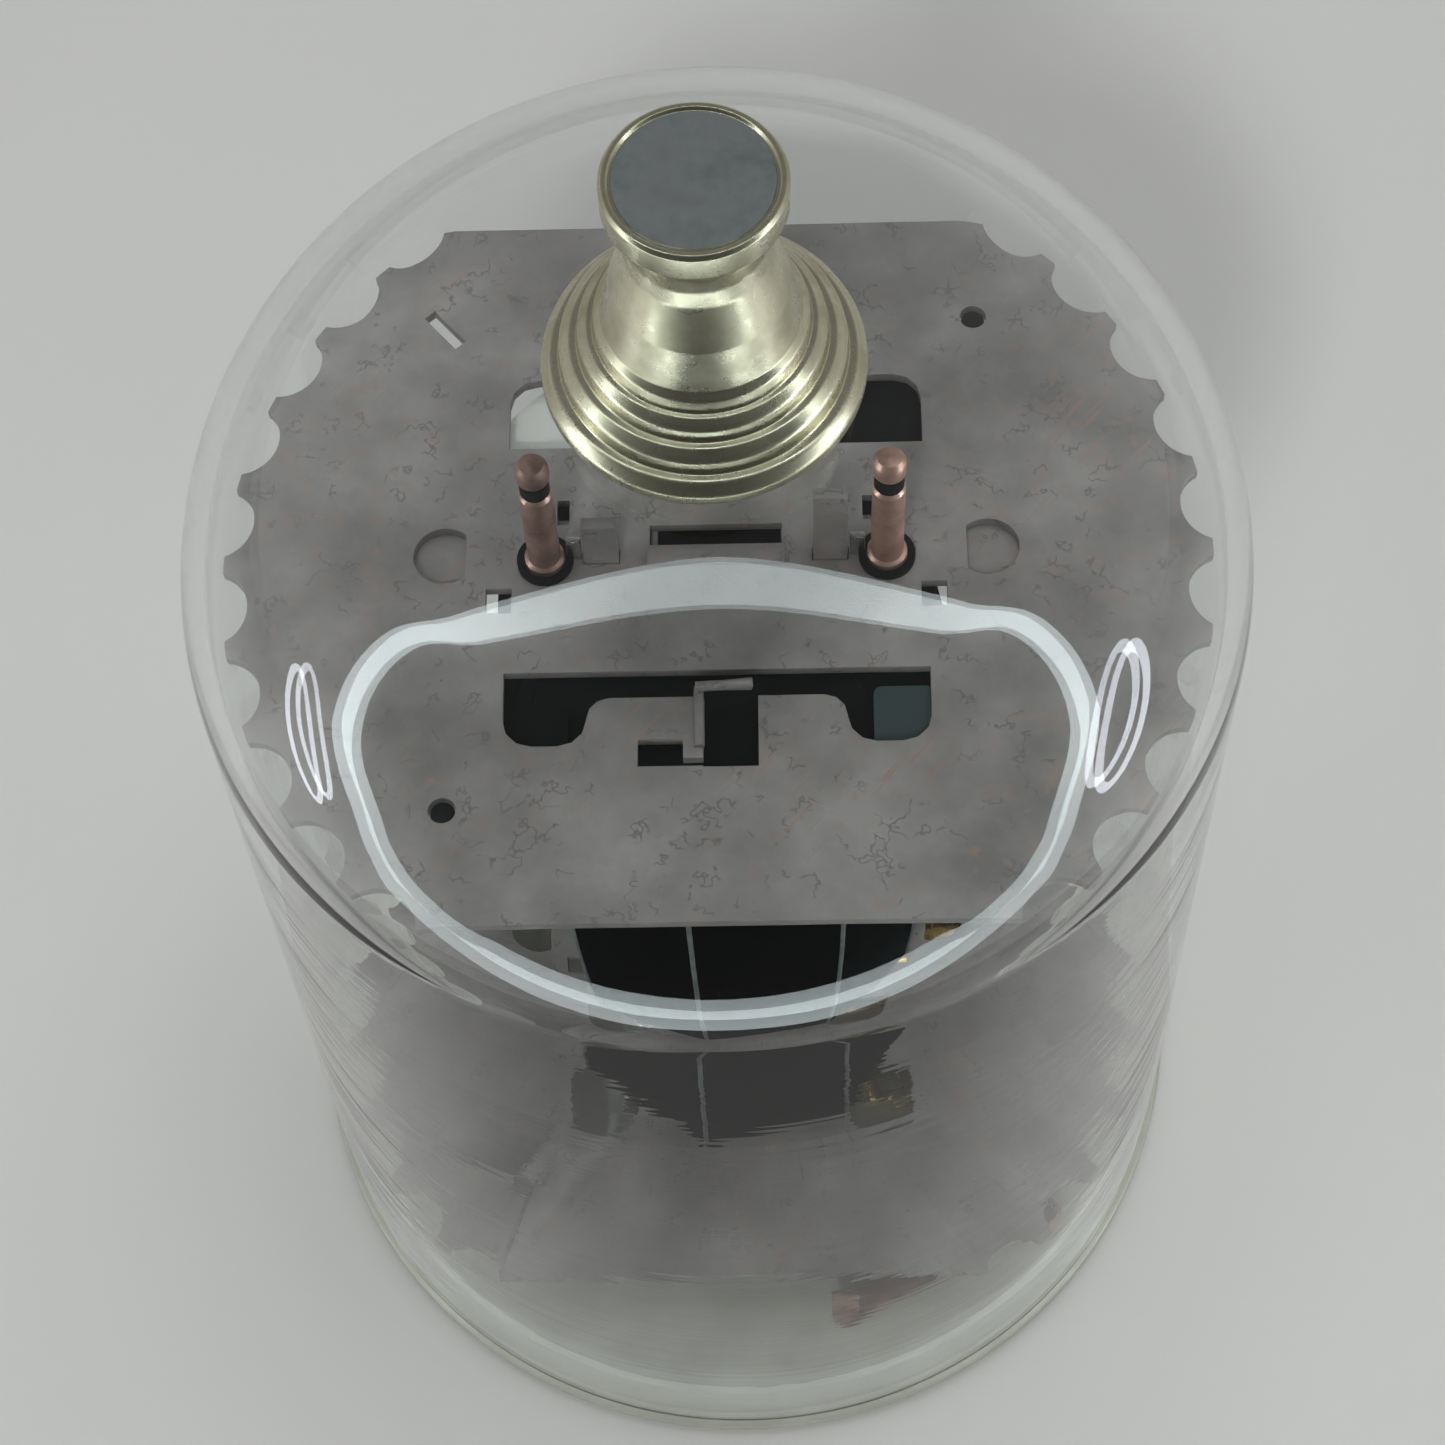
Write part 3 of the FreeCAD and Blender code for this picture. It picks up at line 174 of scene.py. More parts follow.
@dataclass(frozen=True)
class Finish:
    """What a surface is made of and how it was made. Each kind paints its own material once."""

    name: str

    def material(self) -> bpy.types.Material:
        """The finish's material, made on first use."""
        known = bpy.data.materials.get(self.name)
        if known:
            return known
        made = bpy.data.materials.new(self.name)
        made.use_nodes = True
        tree = made.node_tree
        shader = tree.nodes["Principled BSDF"]
        place = add(tree, "ShaderNodeTexCoord").outputs["Object"]
        self.paint(tree, shader, place)
        return made

    def paint(self, tree: bpy.types.NodeTree, shader: bpy.types.Node, place: bpy.types.NodeSocket) -> None:
        """Sets the shader up; each finish has its own."""
        raise NotImplementedError

    def noise(self, tree: bpy.types.NodeTree, place: bpy.types.NodeSocket, size: float, detail: float = 3.0,
              stretch: tuple[float, float, float] = (1, 1, 1), turn: float = 0.0) -> bpy.types.NodeSocket:
        """Soft random variation.

        Args:
            tree: the node tree.
            place: the coordinates, in metres.
            size: the width of a patch in millimetres.
            detail: how many finer layers are laid over it.
            stretch: how much longer a patch is along each axis.
            turn: how far the patches are turned about Z, in degrees.

        Returns:
            A value about 0.5.
        """
        if stretch != (1, 1, 1) or turn:
            place = add(tree, "ShaderNodeMapping", {
                "Vector": place, "Rotation": (0, 0, math.radians(turn)), "Scale": stretch,
            }, vector_type="TEXTURE").outputs["Vector"]
        return add(tree, "ShaderNodeTexNoise", {
            "Vector": place, "Scale": per_mm(size), "Detail": detail, "Roughness": 0.6,
        }).outputs["Fac"]

    def bump(self, tree: bpy.types.NodeTree, shader: bpy.types.Node, height: bpy.types.NodeSocket,
             depth: float, strength: float = 1.0) -> None:
        """Raises the surface by a height.

        Args:
            tree: the node tree.
            shader: the shader whose normal is bent.
            height: the value that is raised, from 0 to 1.
            depth: how far 1 stands above 0, in millimetres.
            strength: how much of it is used.
        """
        made = add(tree, "ShaderNodeBump", {"Height": height, "Distance": depth * MM, "Strength": strength})
        tree.links.new(made.outputs["Normal"], shader.inputs["Normal"])


@dataclass(frozen=True)
class MillSteel(Finish):
    """Cold rolled low-carbon steel with no plating, stored for decades: a mottled grey oxide skin,
    fine dents from tumbling after the press, and thin orange rust where the oil dried."""

    colour: str = "#77736f"
    dull: str = "#676460"
    pale: str = "#888480"
    rust: str = "#8a6f60"
    crease: str = "#5d5956"

    def blend(self, tree: bpy.types.NodeTree, share: bpy.types.NodeSocket, under: bpy.types.NodeSocket,
              colour: str) -> bpy.types.NodeSocket:
        """Lays a colour over another by a share."""
        return add(tree, "ShaderNodeMix", {0: share, 6: under, 7: linear(colour)}, data_type="RGBA").outputs[2]

    def within(self, tree: bpy.types.NodeTree, lines: bpy.types.NodeSocket,
               zone: bpy.types.NodeSocket) -> bpy.types.NodeSocket:
        """Keeps some lines to a zone."""
        return add(tree, "ShaderNodeMath", {0: lines, 1: zone}, operation="MULTIPLY").outputs[0]

    def paint(self, tree: bpy.types.NodeTree, shader: bpy.types.Node, place: bpy.types.NodeSocket) -> None:
        """Clouds some millimetres wide, creases and dents of one or two, and scratches of rust."""
        clouds = self.noise(tree, place, 9.0, 6.0)
        skin = ramp(tree, clouds, [(0.32, linear(self.dull)), (0.5, linear(self.colour)), (0.68, linear(self.pale))])
        # creases: where a slow noise crosses its middle, broken up by a finer one
        folds = self.noise(tree, place, 3.2, 3.0)
        fold_lines = ramp(tree, folds, [(0.48, grey(0.0)), (0.5, grey(0.9)), (0.52, grey(0.0))])
        fold_zone = ramp(tree, self.noise(tree, place, 2.4, 1.0), [(0.52, grey(0.0)), (0.6, grey(1.0))])
        creases = self.within(tree, fold_lines, fold_zone)
        creased = self.blend(tree, creases, skin, self.crease)
        # rust scratches: noise drawn out 20 to 1, mostly down to the left
        streaks = self.noise(tree, place, 0.42, 2.0, (20, 1, 1), 47)
        streak_lines = ramp(tree, streaks, [(0.6, grey(0.0)), (0.67, grey(0.75))])
        streak_zone = ramp(tree, self.noise(tree, place, 13.0, 2.0), [(0.5, grey(0.0)), (0.58, grey(1.0))])
        scratched = self.blend(tree, self.within(tree, streak_lines, streak_zone), creased, self.rust)
        # rust bloom: soft patches in a few places
        bloom = ramp(tree, self.noise(tree, place, 1.6, 5.0), [(0.56, grey(0.0)), (0.7, grey(0.6))])
        bloom_zone = ramp(tree, self.noise(tree, place, 12.0, 1.0), [(0.45, grey(0.1)), (0.6, grey(1.0))])
        bloomed = self.blend(tree, self.within(tree, bloom, bloom_zone), scratched, self.rust)
        tree.links.new(bloomed, shader.inputs["Base Color"])
        shader.inputs["Metallic"].default_value = 0.25
        gloss = ramp(tree, clouds, [(0.3, grey(0.5)), (0.7, grey(0.62))])
        tree.links.new(gloss, shader.inputs["Roughness"])
        dents = self.noise(tree, place, 1.8, 4.0)
        relief = add(tree, "ShaderNodeMath", {0: dents, 1: creases}, operation="SUBTRACT").outputs[0]
        self.bump(tree, shader, relief, 0.06, 0.5)


@dataclass(frozen=True)
class Metal(Finish):
    """A clean metal: its own colour, the lines its last tool left, and slow changes where it was handled."""

    colour: str = "#c0c0c0"
    dark: str = "#909090"
    roughness: float = 0.25
    grain: Grain = Grain.PLAIN
    line: float = 0.25
    depth: float = 0.004

    def paint(self, tree: bpy.types.NodeTree, shader: bpy.types.Node, place: bpy.types.NodeSocket) -> None:
        """Tool lines as fine bump, with colour and gloss that change over some millimetres."""
        haze = self.noise(tree, place, 4.0, 4.0)
        colour = ramp(tree, haze, [(0.32, linear(self.dark)), (0.58, linear(self.colour))])
        tree.links.new(colour, shader.inputs["Base Color"])
        shader.inputs["Metallic"].default_value = 1.0
        gloss = ramp(tree, haze, [(0.3, grey(self.roughness * 1.35)), (0.65, grey(self.roughness * 0.85))])
        tree.links.new(gloss, shader.inputs["Roughness"])
        if self.grain is Grain.TURNED_UPRIGHT:
            lines = add(tree, "ShaderNodeTexWave", {
                "Vector": place, "Scale": per_mm(self.line) / WAVE_RADIANS, "Distortion": 0.6, "Detail": 1.0,
            }, wave_type="BANDS", bands_direction="Z").outputs["Fac"]
        elif self.grain is Grain.GROUND:
            lines = self.noise(tree, place, self.line, 2.0, (1, 30, 1))
        else:
            lines = self.noise(tree, place, self.line, 3.0)
        self.bump(tree, shader, lines, self.depth, 0.6)


@dataclass(frozen=True)
class SilveredGlass(Finish):
    """Smoked mirror strip: cut float glass silvered on its back, which gives a dark teal mirror."""

    colour: str = "#10161a"
    shade: str = "#080b0c"
    glare: str = "#5c6b6b"

    def paint(self, tree: bpy.types.NodeTree, shader: bpy.types.Node, place: bpy.types.NodeSocket) -> None:
        """A smooth dark mirror with faint wipe marks up and down it."""
        wipes = self.noise(tree, place, 2.5, 3.0, (1, 1, 12))
        gloss = ramp(tree, wipes, [(0.35, grey(0.03)), (0.75, grey(0.12))])
        tree.links.new(gloss, shader.inputs["Roughness"])
        tint = ramp(tree, wipes, [(0.3, linear(self.shade)), (0.7, linear(self.colour))])
        tree.links.new(tint, shader.inputs["Base Color"])
        shader.inputs["Metallic"].default_value = 1.0
        shader.inputs["Specular Tint"].default_value = linear(self.glare)


@dataclass(frozen=True)
class ClearAcrylic(Finish):
    """Cast acrylic, blown and flame polished: clear, with bright rims and almost no ripple."""

    ior: float = 1.49
    ring_share: float = 0.5

    def paint(self, tree: bpy.types.NodeTree, shader: bpy.types.Node, place: bpy.types.NodeSocket) -> None:
        """A clear shader whose shadow lets light through, with the ripple of a blown wall."""
        shader.inputs["Base Color"].default_value = linear("#fbfcfc")
        shader.inputs["Transmission Weight"].default_value = 1.0
        shader.inputs["Roughness"].default_value = 0.0
        shader.inputs["IOR"].default_value = self.ior
        # the straight wall keeps the faint rings of the mandrel, a millimetre or two apart
        ripple = self.noise(tree, place, 26.0, 1.0, (1, 1, 0.3))
        rings = self.noise(tree, place, 1.5, 1.0, (60, 60, 1))
        height = add(tree, "ShaderNodeSeparateXYZ", {"Vector": place}).outputs["Z"]
        wall = add(tree, "ShaderNodeMapRange", {
            "Value": height, "From Min": 0.082, "From Max": 0.104, "To Min": self.ring_share, "To Max": 0.0,
        }).outputs["Result"]
        kept = add(tree, "ShaderNodeMath", {0: rings, 1: wall}, operation="MULTIPLY").outputs[0]
        relief = add(tree, "ShaderNodeMath", {0: ripple, 1: kept}, operation="ADD").outputs[0]
        self.bump(tree, shader, relief, 0.05, 0.35)
        path = add(tree, "ShaderNodeLightPath")
        through = add(tree, "ShaderNodeBsdfTransparent", {"Color": grey(0.94)})
        mixed = add(tree, "ShaderNodeMixShader", {
            0: path.outputs["Is Shadow Ray"], 1: shader.outputs["BSDF"], 2: through.outputs["BSDF"],
        })
        tree.links.new(mixed.outputs["Shader"], tree.nodes["Material Output"].inputs["Surface"])


@dataclass(frozen=True)
class Felt(Finish):
    """Pressed wool felt: matt, with short fibres that catch light at the edge."""

    colour: str = "#2b2827"
    shade: str = "#181615"

    def paint(self, tree: bpy.types.NodeTree, shader: bpy.types.Node, place: bpy.types.NodeSocket) -> None:
        """Fibres a tenth of a millimetre wide, drawn at a quarter so that they show."""
        fibres = self.noise(tree, place, 0.25, 5.0)
        colour = ramp(tree, fibres, [(0.3, linear(self.shade)), (0.75, linear(self.colour))])
        tree.links.new(colour, shader.inputs["Base Color"])
        shader.inputs["Roughness"].default_value = 0.95
        shader.inputs["Sheen Weight"].default_value = 0.5
        shader.inputs["Sheen Roughness"].default_value = 0.5
        self.bump(tree, shader, fibres, 0.15, 0.8)


@dataclass(frozen=True)
class StainedWood(Finish):
    """Turned beech with a dark stain: straight fine grain along the column."""

    colour: str = "#1f1713"
    shade: str = "#0e0a08"

    def paint(self, tree: bpy.types.NodeTree, shader: bpy.types.Node, place: bpy.types.NodeSocket) -> None:
        """Grain half a millimetre wide, stretched up the column."""
        grain = self.noise(tree, place, 0.5, 4.0, (1, 1, 25))
        colour = ramp(tree, grain, [(0.35, linear(self.shade)), (0.65, linear(self.colour))])
        tree.links.new(colour, shader.inputs["Base Color"])
        shader.inputs["Roughness"].default_value = 0.55
        self.bump(tree, shader, grain, 0.05, 0.5)


@dataclass(frozen=True)
class Moulded(Finish):
    """Moulded plastic or rubber: one colour right through, with the fine texture of the mould."""

    colour: str = "#202020"
    roughness: float = 0.5
    sheen: float = 0.5

    def paint(self, tree: bpy.types.NodeTree, shader: bpy.types.Node, place: bpy.types.NodeSocket) -> None:
        """A spark-eroded mould's grain, a fifth of a millimetre wide."""
        grain = self.noise(tree, place, 0.2, 2.0)
        shader.inputs["Base Color"].default_value = linear(self.colour)
        gloss = ramp(tree, grain, [(0.3, grey(self.roughness * 0.85)), (0.7, grey(self.roughness * 1.15))])
        tree.links.new(gloss, shader.inputs["Roughness"])
        shader.inputs["Specular IOR Level"].default_value = self.sheen
        self.bump(tree, shader, grain, 0.02, 0.5)


@dataclass(frozen=True)
class LacqueredSteel(Finish):
    """Pressed steel with a sprayed and stoved coat: a soft gloss over faint orange peel."""

    colour: str = "#86868a"
    shade: str = "#6f6f73"

    def paint(self, tree: bpy.types.NodeTree, shader: bpy.types.Node, place: bpy.types.NodeSocket) -> None:
        """Orange peel 0.8 mm wide under a clear coat."""
        peel = self.noise(tree, place, 0.8, 1.0)
        patches = self.noise(tree, place, 6.0, 4.0)
        colour = ramp(tree, patches, [(0.3, linear(self.shade)), (0.7, linear(self.colour))])
        tree.links.new(colour, shader.inputs["Base Color"])
        shader.inputs["Metallic"].default_value = 0.3
        shader.inputs["Roughness"].default_value = 0.42
        shader.inputs["Coat Weight"].default_value = 0.3
        self.bump(tree, shader, peel, 0.01, 0.6)


@dataclass(frozen=True)
class TableTop(Finish):
    """The stage: a matt pale board."""

    colour: str = "#d3d3ce"
    shade: str = "#cfcfca"

    def paint(self, tree: bpy.types.NodeTree, shader: bpy.types.Node, place: bpy.types.NodeSocket) -> None:
        """Almost even, with a slow drift of tone."""
        drift = self.noise(tree, place, 120.0, 2.0)
        colour = ramp(tree, drift, [(0.3, linear(self.shade)), (0.7, linear(self.colour))])
        tree.links.new(colour, shader.inputs["Base Color"])
        shader.inputs["Roughness"].default_value = 0.7


@dataclass(frozen=True)
class Glow(Finish):
    """The face of a studio lamp."""

    colour: str = "#eef6f8"
    power: float = 4.0

    def paint(self, tree: bpy.types.NodeTree, shader: bpy.types.Node, place: bpy.types.NodeSocket) -> None:
        """An even glow."""
        shader.inputs["Base Color"].default_value = grey(0.0)
        shader.inputs["Emission Color"].default_value = linear(self.colour)
        shader.inputs["Emission Strength"].default_value = self.power


@dataclass(frozen=True)
class DriftingGlow(Glow):
    """A card whose brightness drifts along one axis of the room."""

    axis: str = "X"
    near: tuple[float, float] = (0.15, 1.0)
    far: tuple[float, float] = (0.8, 1.9)

    def paint(self, tree: bpy.types.NodeTree, shader: bpy.types.Node, place: bpy.types.NodeSocket) -> None:
        """The glow grows from one place, in metres from the middle, to another."""
        super().paint(tree, shader, place)
        spot = add(tree, "ShaderNodeSeparateXYZ", {"Vector": place}).outputs[self.axis]
        reach = add(tree, "ShaderNodeMath", {0: spot}, operation="ABSOLUTE").outputs[0]
        share = add(tree, "ShaderNodeMapRange", {
            "Value": reach, "From Min": self.near[0], "From Max": self.far[0],
            "To Min": self.near[1] * self.power, "To Max": self.far[1] * self.power,
        }).outputs["Result"]
        tree.links.new(share, shader.inputs["Emission Strength"])


FINISHES: dict[Slot, Finish] = {
    Slot.FELT: Felt("pressed_wool_felt"),
    Slot.PAN: LacqueredSteel("pale_enamelled_pan", "#b4b4a8", "#a5a599"),
    Slot.BRASS: Metal("turned_yellow_brass", "#d9b877", "#b08d4f", 0.24, Grain.PLAIN, 0.3, 0.004),
    Slot.LID: Metal("nickel_plated_lid", "#cfccc4", "#a9a69f", 0.18, Grain.PLAIN, 0.4, 0.003),
    Slot.BED: LacqueredSteel("grey_lacquered_steel", "#b3b3ab", "#a0a099"),
    Slot.KEY: Metal("zinc_plated_steel", "#b4b5b4", "#8f908f", 0.36, Grain.PLAIN, 0.5, 0.006),
    Slot.BRIGHT: Metal("bright_drawn_steel", "#c9c9c8", "#9b9b9b", 0.22, Grain.PLAIN, 0.25, 0.003),
    Slot.SPRING: Metal("blued_spring_steel", "#5c6a8c", "#39435e", 0.28, Grain.GROUND, 0.2, 0.003),
    Slot.COMB: Metal("ground_comb_steel", "#bfc2c6", "#8e9196", 0.3, Grain.GROUND, 0.12, 0.006),
    Slot.BLACK: Moulded("moulded_black_plastic", "#040505", 0.6, 0.15),
    Slot.PLATE: MillSteel("mill_steel_plate"),
    Slot.WOOD: StainedWood("stained_beech"),
    Slot.MIRROR: SilveredGlass("smoked_mirror_strip"),
    Slot.COPPER: Metal("copper_plated_steel", "#b8968a", "#7d655c", 0.42, Grain.TURNED_UPRIGHT, 0.3, 0.006),
    Slot.CLEAR: ClearAcrylic("polished_cast_acrylic"),
    Slot.KNOB: Metal("nickel_brass_turning", "#ccc7ae", "#aea88e", 0.27, Grain.TURNED_UPRIGHT, 0.4, 0.003),
    Slot.RUBBER: Moulded("moulded_rubber_washer", "#0e0e0e", 0.7, 0.15),
}


# -------------------------------- mesh making


@dataclass
class Outline:
    """A closed or open run of corners in a plane, each rounded by its own radius, in millimetres."""

    corners: list[tuple[float, float, float]]
    steps: int = 6
    closed: bool = True

    def points(self) -> list[tuple[float, float]]:
        """The corners with an arc in place of each round one."""
        out: list[tuple[float, float]] = []
        count = len(self.corners)
        for k, (across, up, radius) in enumerate(self.corners):
            here = Vector((across, up))
            if radius <= 0 or (not self.closed and k in (0, count - 1)):
                out.append((here.x, here.y))
                continue
            before = Vector(self.corners[k - 1][:2]) - here
            after = Vector(self.corners[(k + 1) % count][:2]) - here
            half = before.angle(after) / 2
            reach = min(radius / math.tan(half), before.length * 0.49, after.length * 0.49)
            start = here + before.normalized() * reach
            end = here + after.normalized() * reach
            for step in range(self.steps + 1):
                share = step / self.steps
                near = start.lerp(here, share)
                far = here.lerp(end, share)
                spot = near.lerp(far, share)
                out.append((spot.x, spot.y))
        return out


def new_object(name: str, mesh: bpy.types.Mesh, finish: Finish) -> bpy.types.Object:
    """Puts a mesh in the scene with its finish."""
    piece = bpy.data.objects.new(name, mesh)
    bpy.context.scene.collection.objects.link(piece)
    mesh.materials.append(finish.material())
    return piece


def to_mesh(name: str, shape: bmesh.types.BMesh) -> bpy.types.Mesh:
    """Makes a named mesh of a shape, and frees the shape."""
    mesh = bpy.data.meshes.new(name)
    shape.to_mesh(mesh)
    shape.free()
    return mesh


def smooth(mesh: bpy.types.Mesh, sharp_over: float = 32.0) -> None:
    """Shades a mesh smooth except over edges sharper than an angle in degrees."""
    mesh.shade_smooth()
    mesh.set_sharp_from_angle(angle=math.radians(sharp_over))


def lathe(name: str, outline: list[tuple[float, float]], finish: Finish, segments: int = 192) -> bpy.types.Object:
    """Turns a closed outline once about Z.

    Args:
        name: the piece's name.
        outline: pairs of radius and height in millimetres; a radius of 0 lies on the axis.
        finish: the piece's finish.
        segments: how many steps go round.

    Returns:
        The piece.
    """
    shape = bmesh.new()
    rings: list[list[bmesh.types.BMVert]] = []
    for radius, height in outline:
        if radius < 1e-6:
            rings.append([shape.verts.new(move(0, 0, height))])
            continue
        turn = [2 * math.pi * k / segments for k in range(segments)]
        rings.append([shape.verts.new(move(radius * math.cos(a), radius * math.sin(a), height)) for a in turn])
    for near, far in zip(rings, rings[1:] + rings[:1]):
        for k in range(segments):
            after = (k + 1) % segments
            corners = [near[k % len(near)], near[after % len(near)], far[after % len(far)], far[k % len(far)]]
            unique = list(dict.fromkeys(corners))
            if len(unique) > 2:
                shape.faces.new(unique)
    bmesh.ops.recalc_face_normals(shape, faces=shape.faces)
    mesh = to_mesh(name, shape)
    smooth(mesh)
    return new_object(name, mesh, finish)


def sweep(name: str, path: list[Vector], section: list[tuple[float, float]], finish: Finish,
          up: Vector = Vector((0, 0, 1))) -> bpy.types.Object:
    """Carries a closed section along a path.

    Args:
        name: the piece's name.
        path: the places it passes, in metres.
        section: pairs of side and height in millimetres.
        finish: the piece's finish.
        up: the direction that the section's height keeps near to.

    Returns:
        The piece, with closed ends.
    """
    shape = bmesh.new()
    rings = []
    for k, spot in enumerate(path):
        ahead = (path[min(k + 1, len(path) - 1)] - path[max(k - 1, 0)]).normalized()
        side = ahead.cross(up).normalized()
        rise = side.cross(ahead)
        rings.append([shape.verts.new(spot + side * (s * MM) + rise * (h * MM)) for s, h in section])
    for near, far in zip(rings, rings[1:]):
        for k in range(len(section)):
            after = (k + 1) % len(section)
            shape.faces.new([near[k], near[after], far[after], far[k]])
    shape.faces.new(list(reversed(rings[0])))
    shape.faces.new(rings[-1])
    bmesh.ops.recalc_face_normals(shape, faces=shape.faces)
    mesh = to_mesh(name, shape)
    smooth(mesh, 40)
    return new_object(name, mesh, finish)


def ellipse(wide: float, tall: float, count: int = 12) -> list[tuple[float, float]]:
    """A round or oval section, in millimetres."""
    turn = [2 * math.pi * k / count for k in range(count)]
    return [(wide / 2 * math.cos(a), tall / 2 * math.sin(a)) for a in turn]


def curve_through(spots: list[Vector], steps: int = 8) -> list[Vector]:
    """A smooth line through some places, by Catmull and Rom's rule.

    Args:
        spots: the places, at least two.
        steps: how many steps lie between two of them.

    Returns:
        The line's points.
    """
    ends = [spots[0] * 2 - spots[1], *spots, spots[-1] * 2 - spots[-2]]
    out = []
    for a, b, c, d in zip(ends, ends[1:], ends[2:], ends[3:]):
        for step in range(steps):
            t = step / steps
            out.append(0.5 * (2 * b + (c - a) * t + (2 * a - 5 * b + 4 * c - d) * t * t
                              + (3 * b - a - 3 * c + d) * t ** 3))
    out.append(spots[-1].copy())
    return out


def finish_piece(piece: bpy.types.Object, body: Body) -> bpy.types.Object:
    """Makes a new piece ride on a body."""
    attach(piece, body.value)
    LOG.info("piece %s rides on %s", piece.name, body.value)
    return piece


def slab(name: str, outline: list[tuple[float, float]], low: float, high: float, finish: Finish) -> bpy.types.Object:
    """A flat piece of the carousel: an outline seen from above, made thick.

    Args:
        name: the piece's name.
        outline: its corners in millimetres, in order.
        low: the height of its lower face.
        high: the height of its upper face.
        finish: the piece's finish.

    Returns:
        The piece, riding on the carousel.
    """
    shape = bmesh.new()
    under = [shape.verts.new(move(x, y, low)) for x, y in outline]
    over = [shape.verts.new(move(x, y, high)) for x, y in outline]
    for k in range(len(outline)):
        after = (k + 1) % len(outline)
        shape.faces.new([under[k], under[after], over[after], over[k]])
    shape.faces.new(list(reversed(under)))
    shape.faces.new(over)
    bmesh.ops.recalc_face_normals(shape, faces=shape.faces)
    mesh = to_mesh(name, shape)
    smooth(mesh)
    return finish_piece(new_object(name, mesh, finish), Body.CAROUSEL)


def soften(node: str, width: float) -> None:
    """Rounds the corners of a frame part in place, as a tumbled or polished edge.

    Args:
        node: the part's name.
        width: how wide the rounding is, in millimetres.
    """
    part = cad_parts[node]
    weld = part.modifiers.new("weld", "WELD")
    weld.merge_threshold = 0.002 * MM
    bevel = part.modifiers.new("edge", "BEVEL")
    bevel.width = width * MM
    bevel.segments = 2
    bevel.limit_method = "ANGLE"
    bevel.angle_limit = EDGE_ANGLE
    bevel.harden_normals = False
    bevel.use_clamp_overlap = True
    part.data.shade_smooth()
    part.data.set_sharp_from_angle(angle=EDGE_ANGLE)


def dress(node: str, finish: Finish) -> None:
    """Gives a frame part its finish."""
    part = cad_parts[node]
    part.data.materials.clear()
    part.data.materials.append(finish.material())
    LOG.info("part %s has %s", node, finish.name)


# -------------------------------- the cover


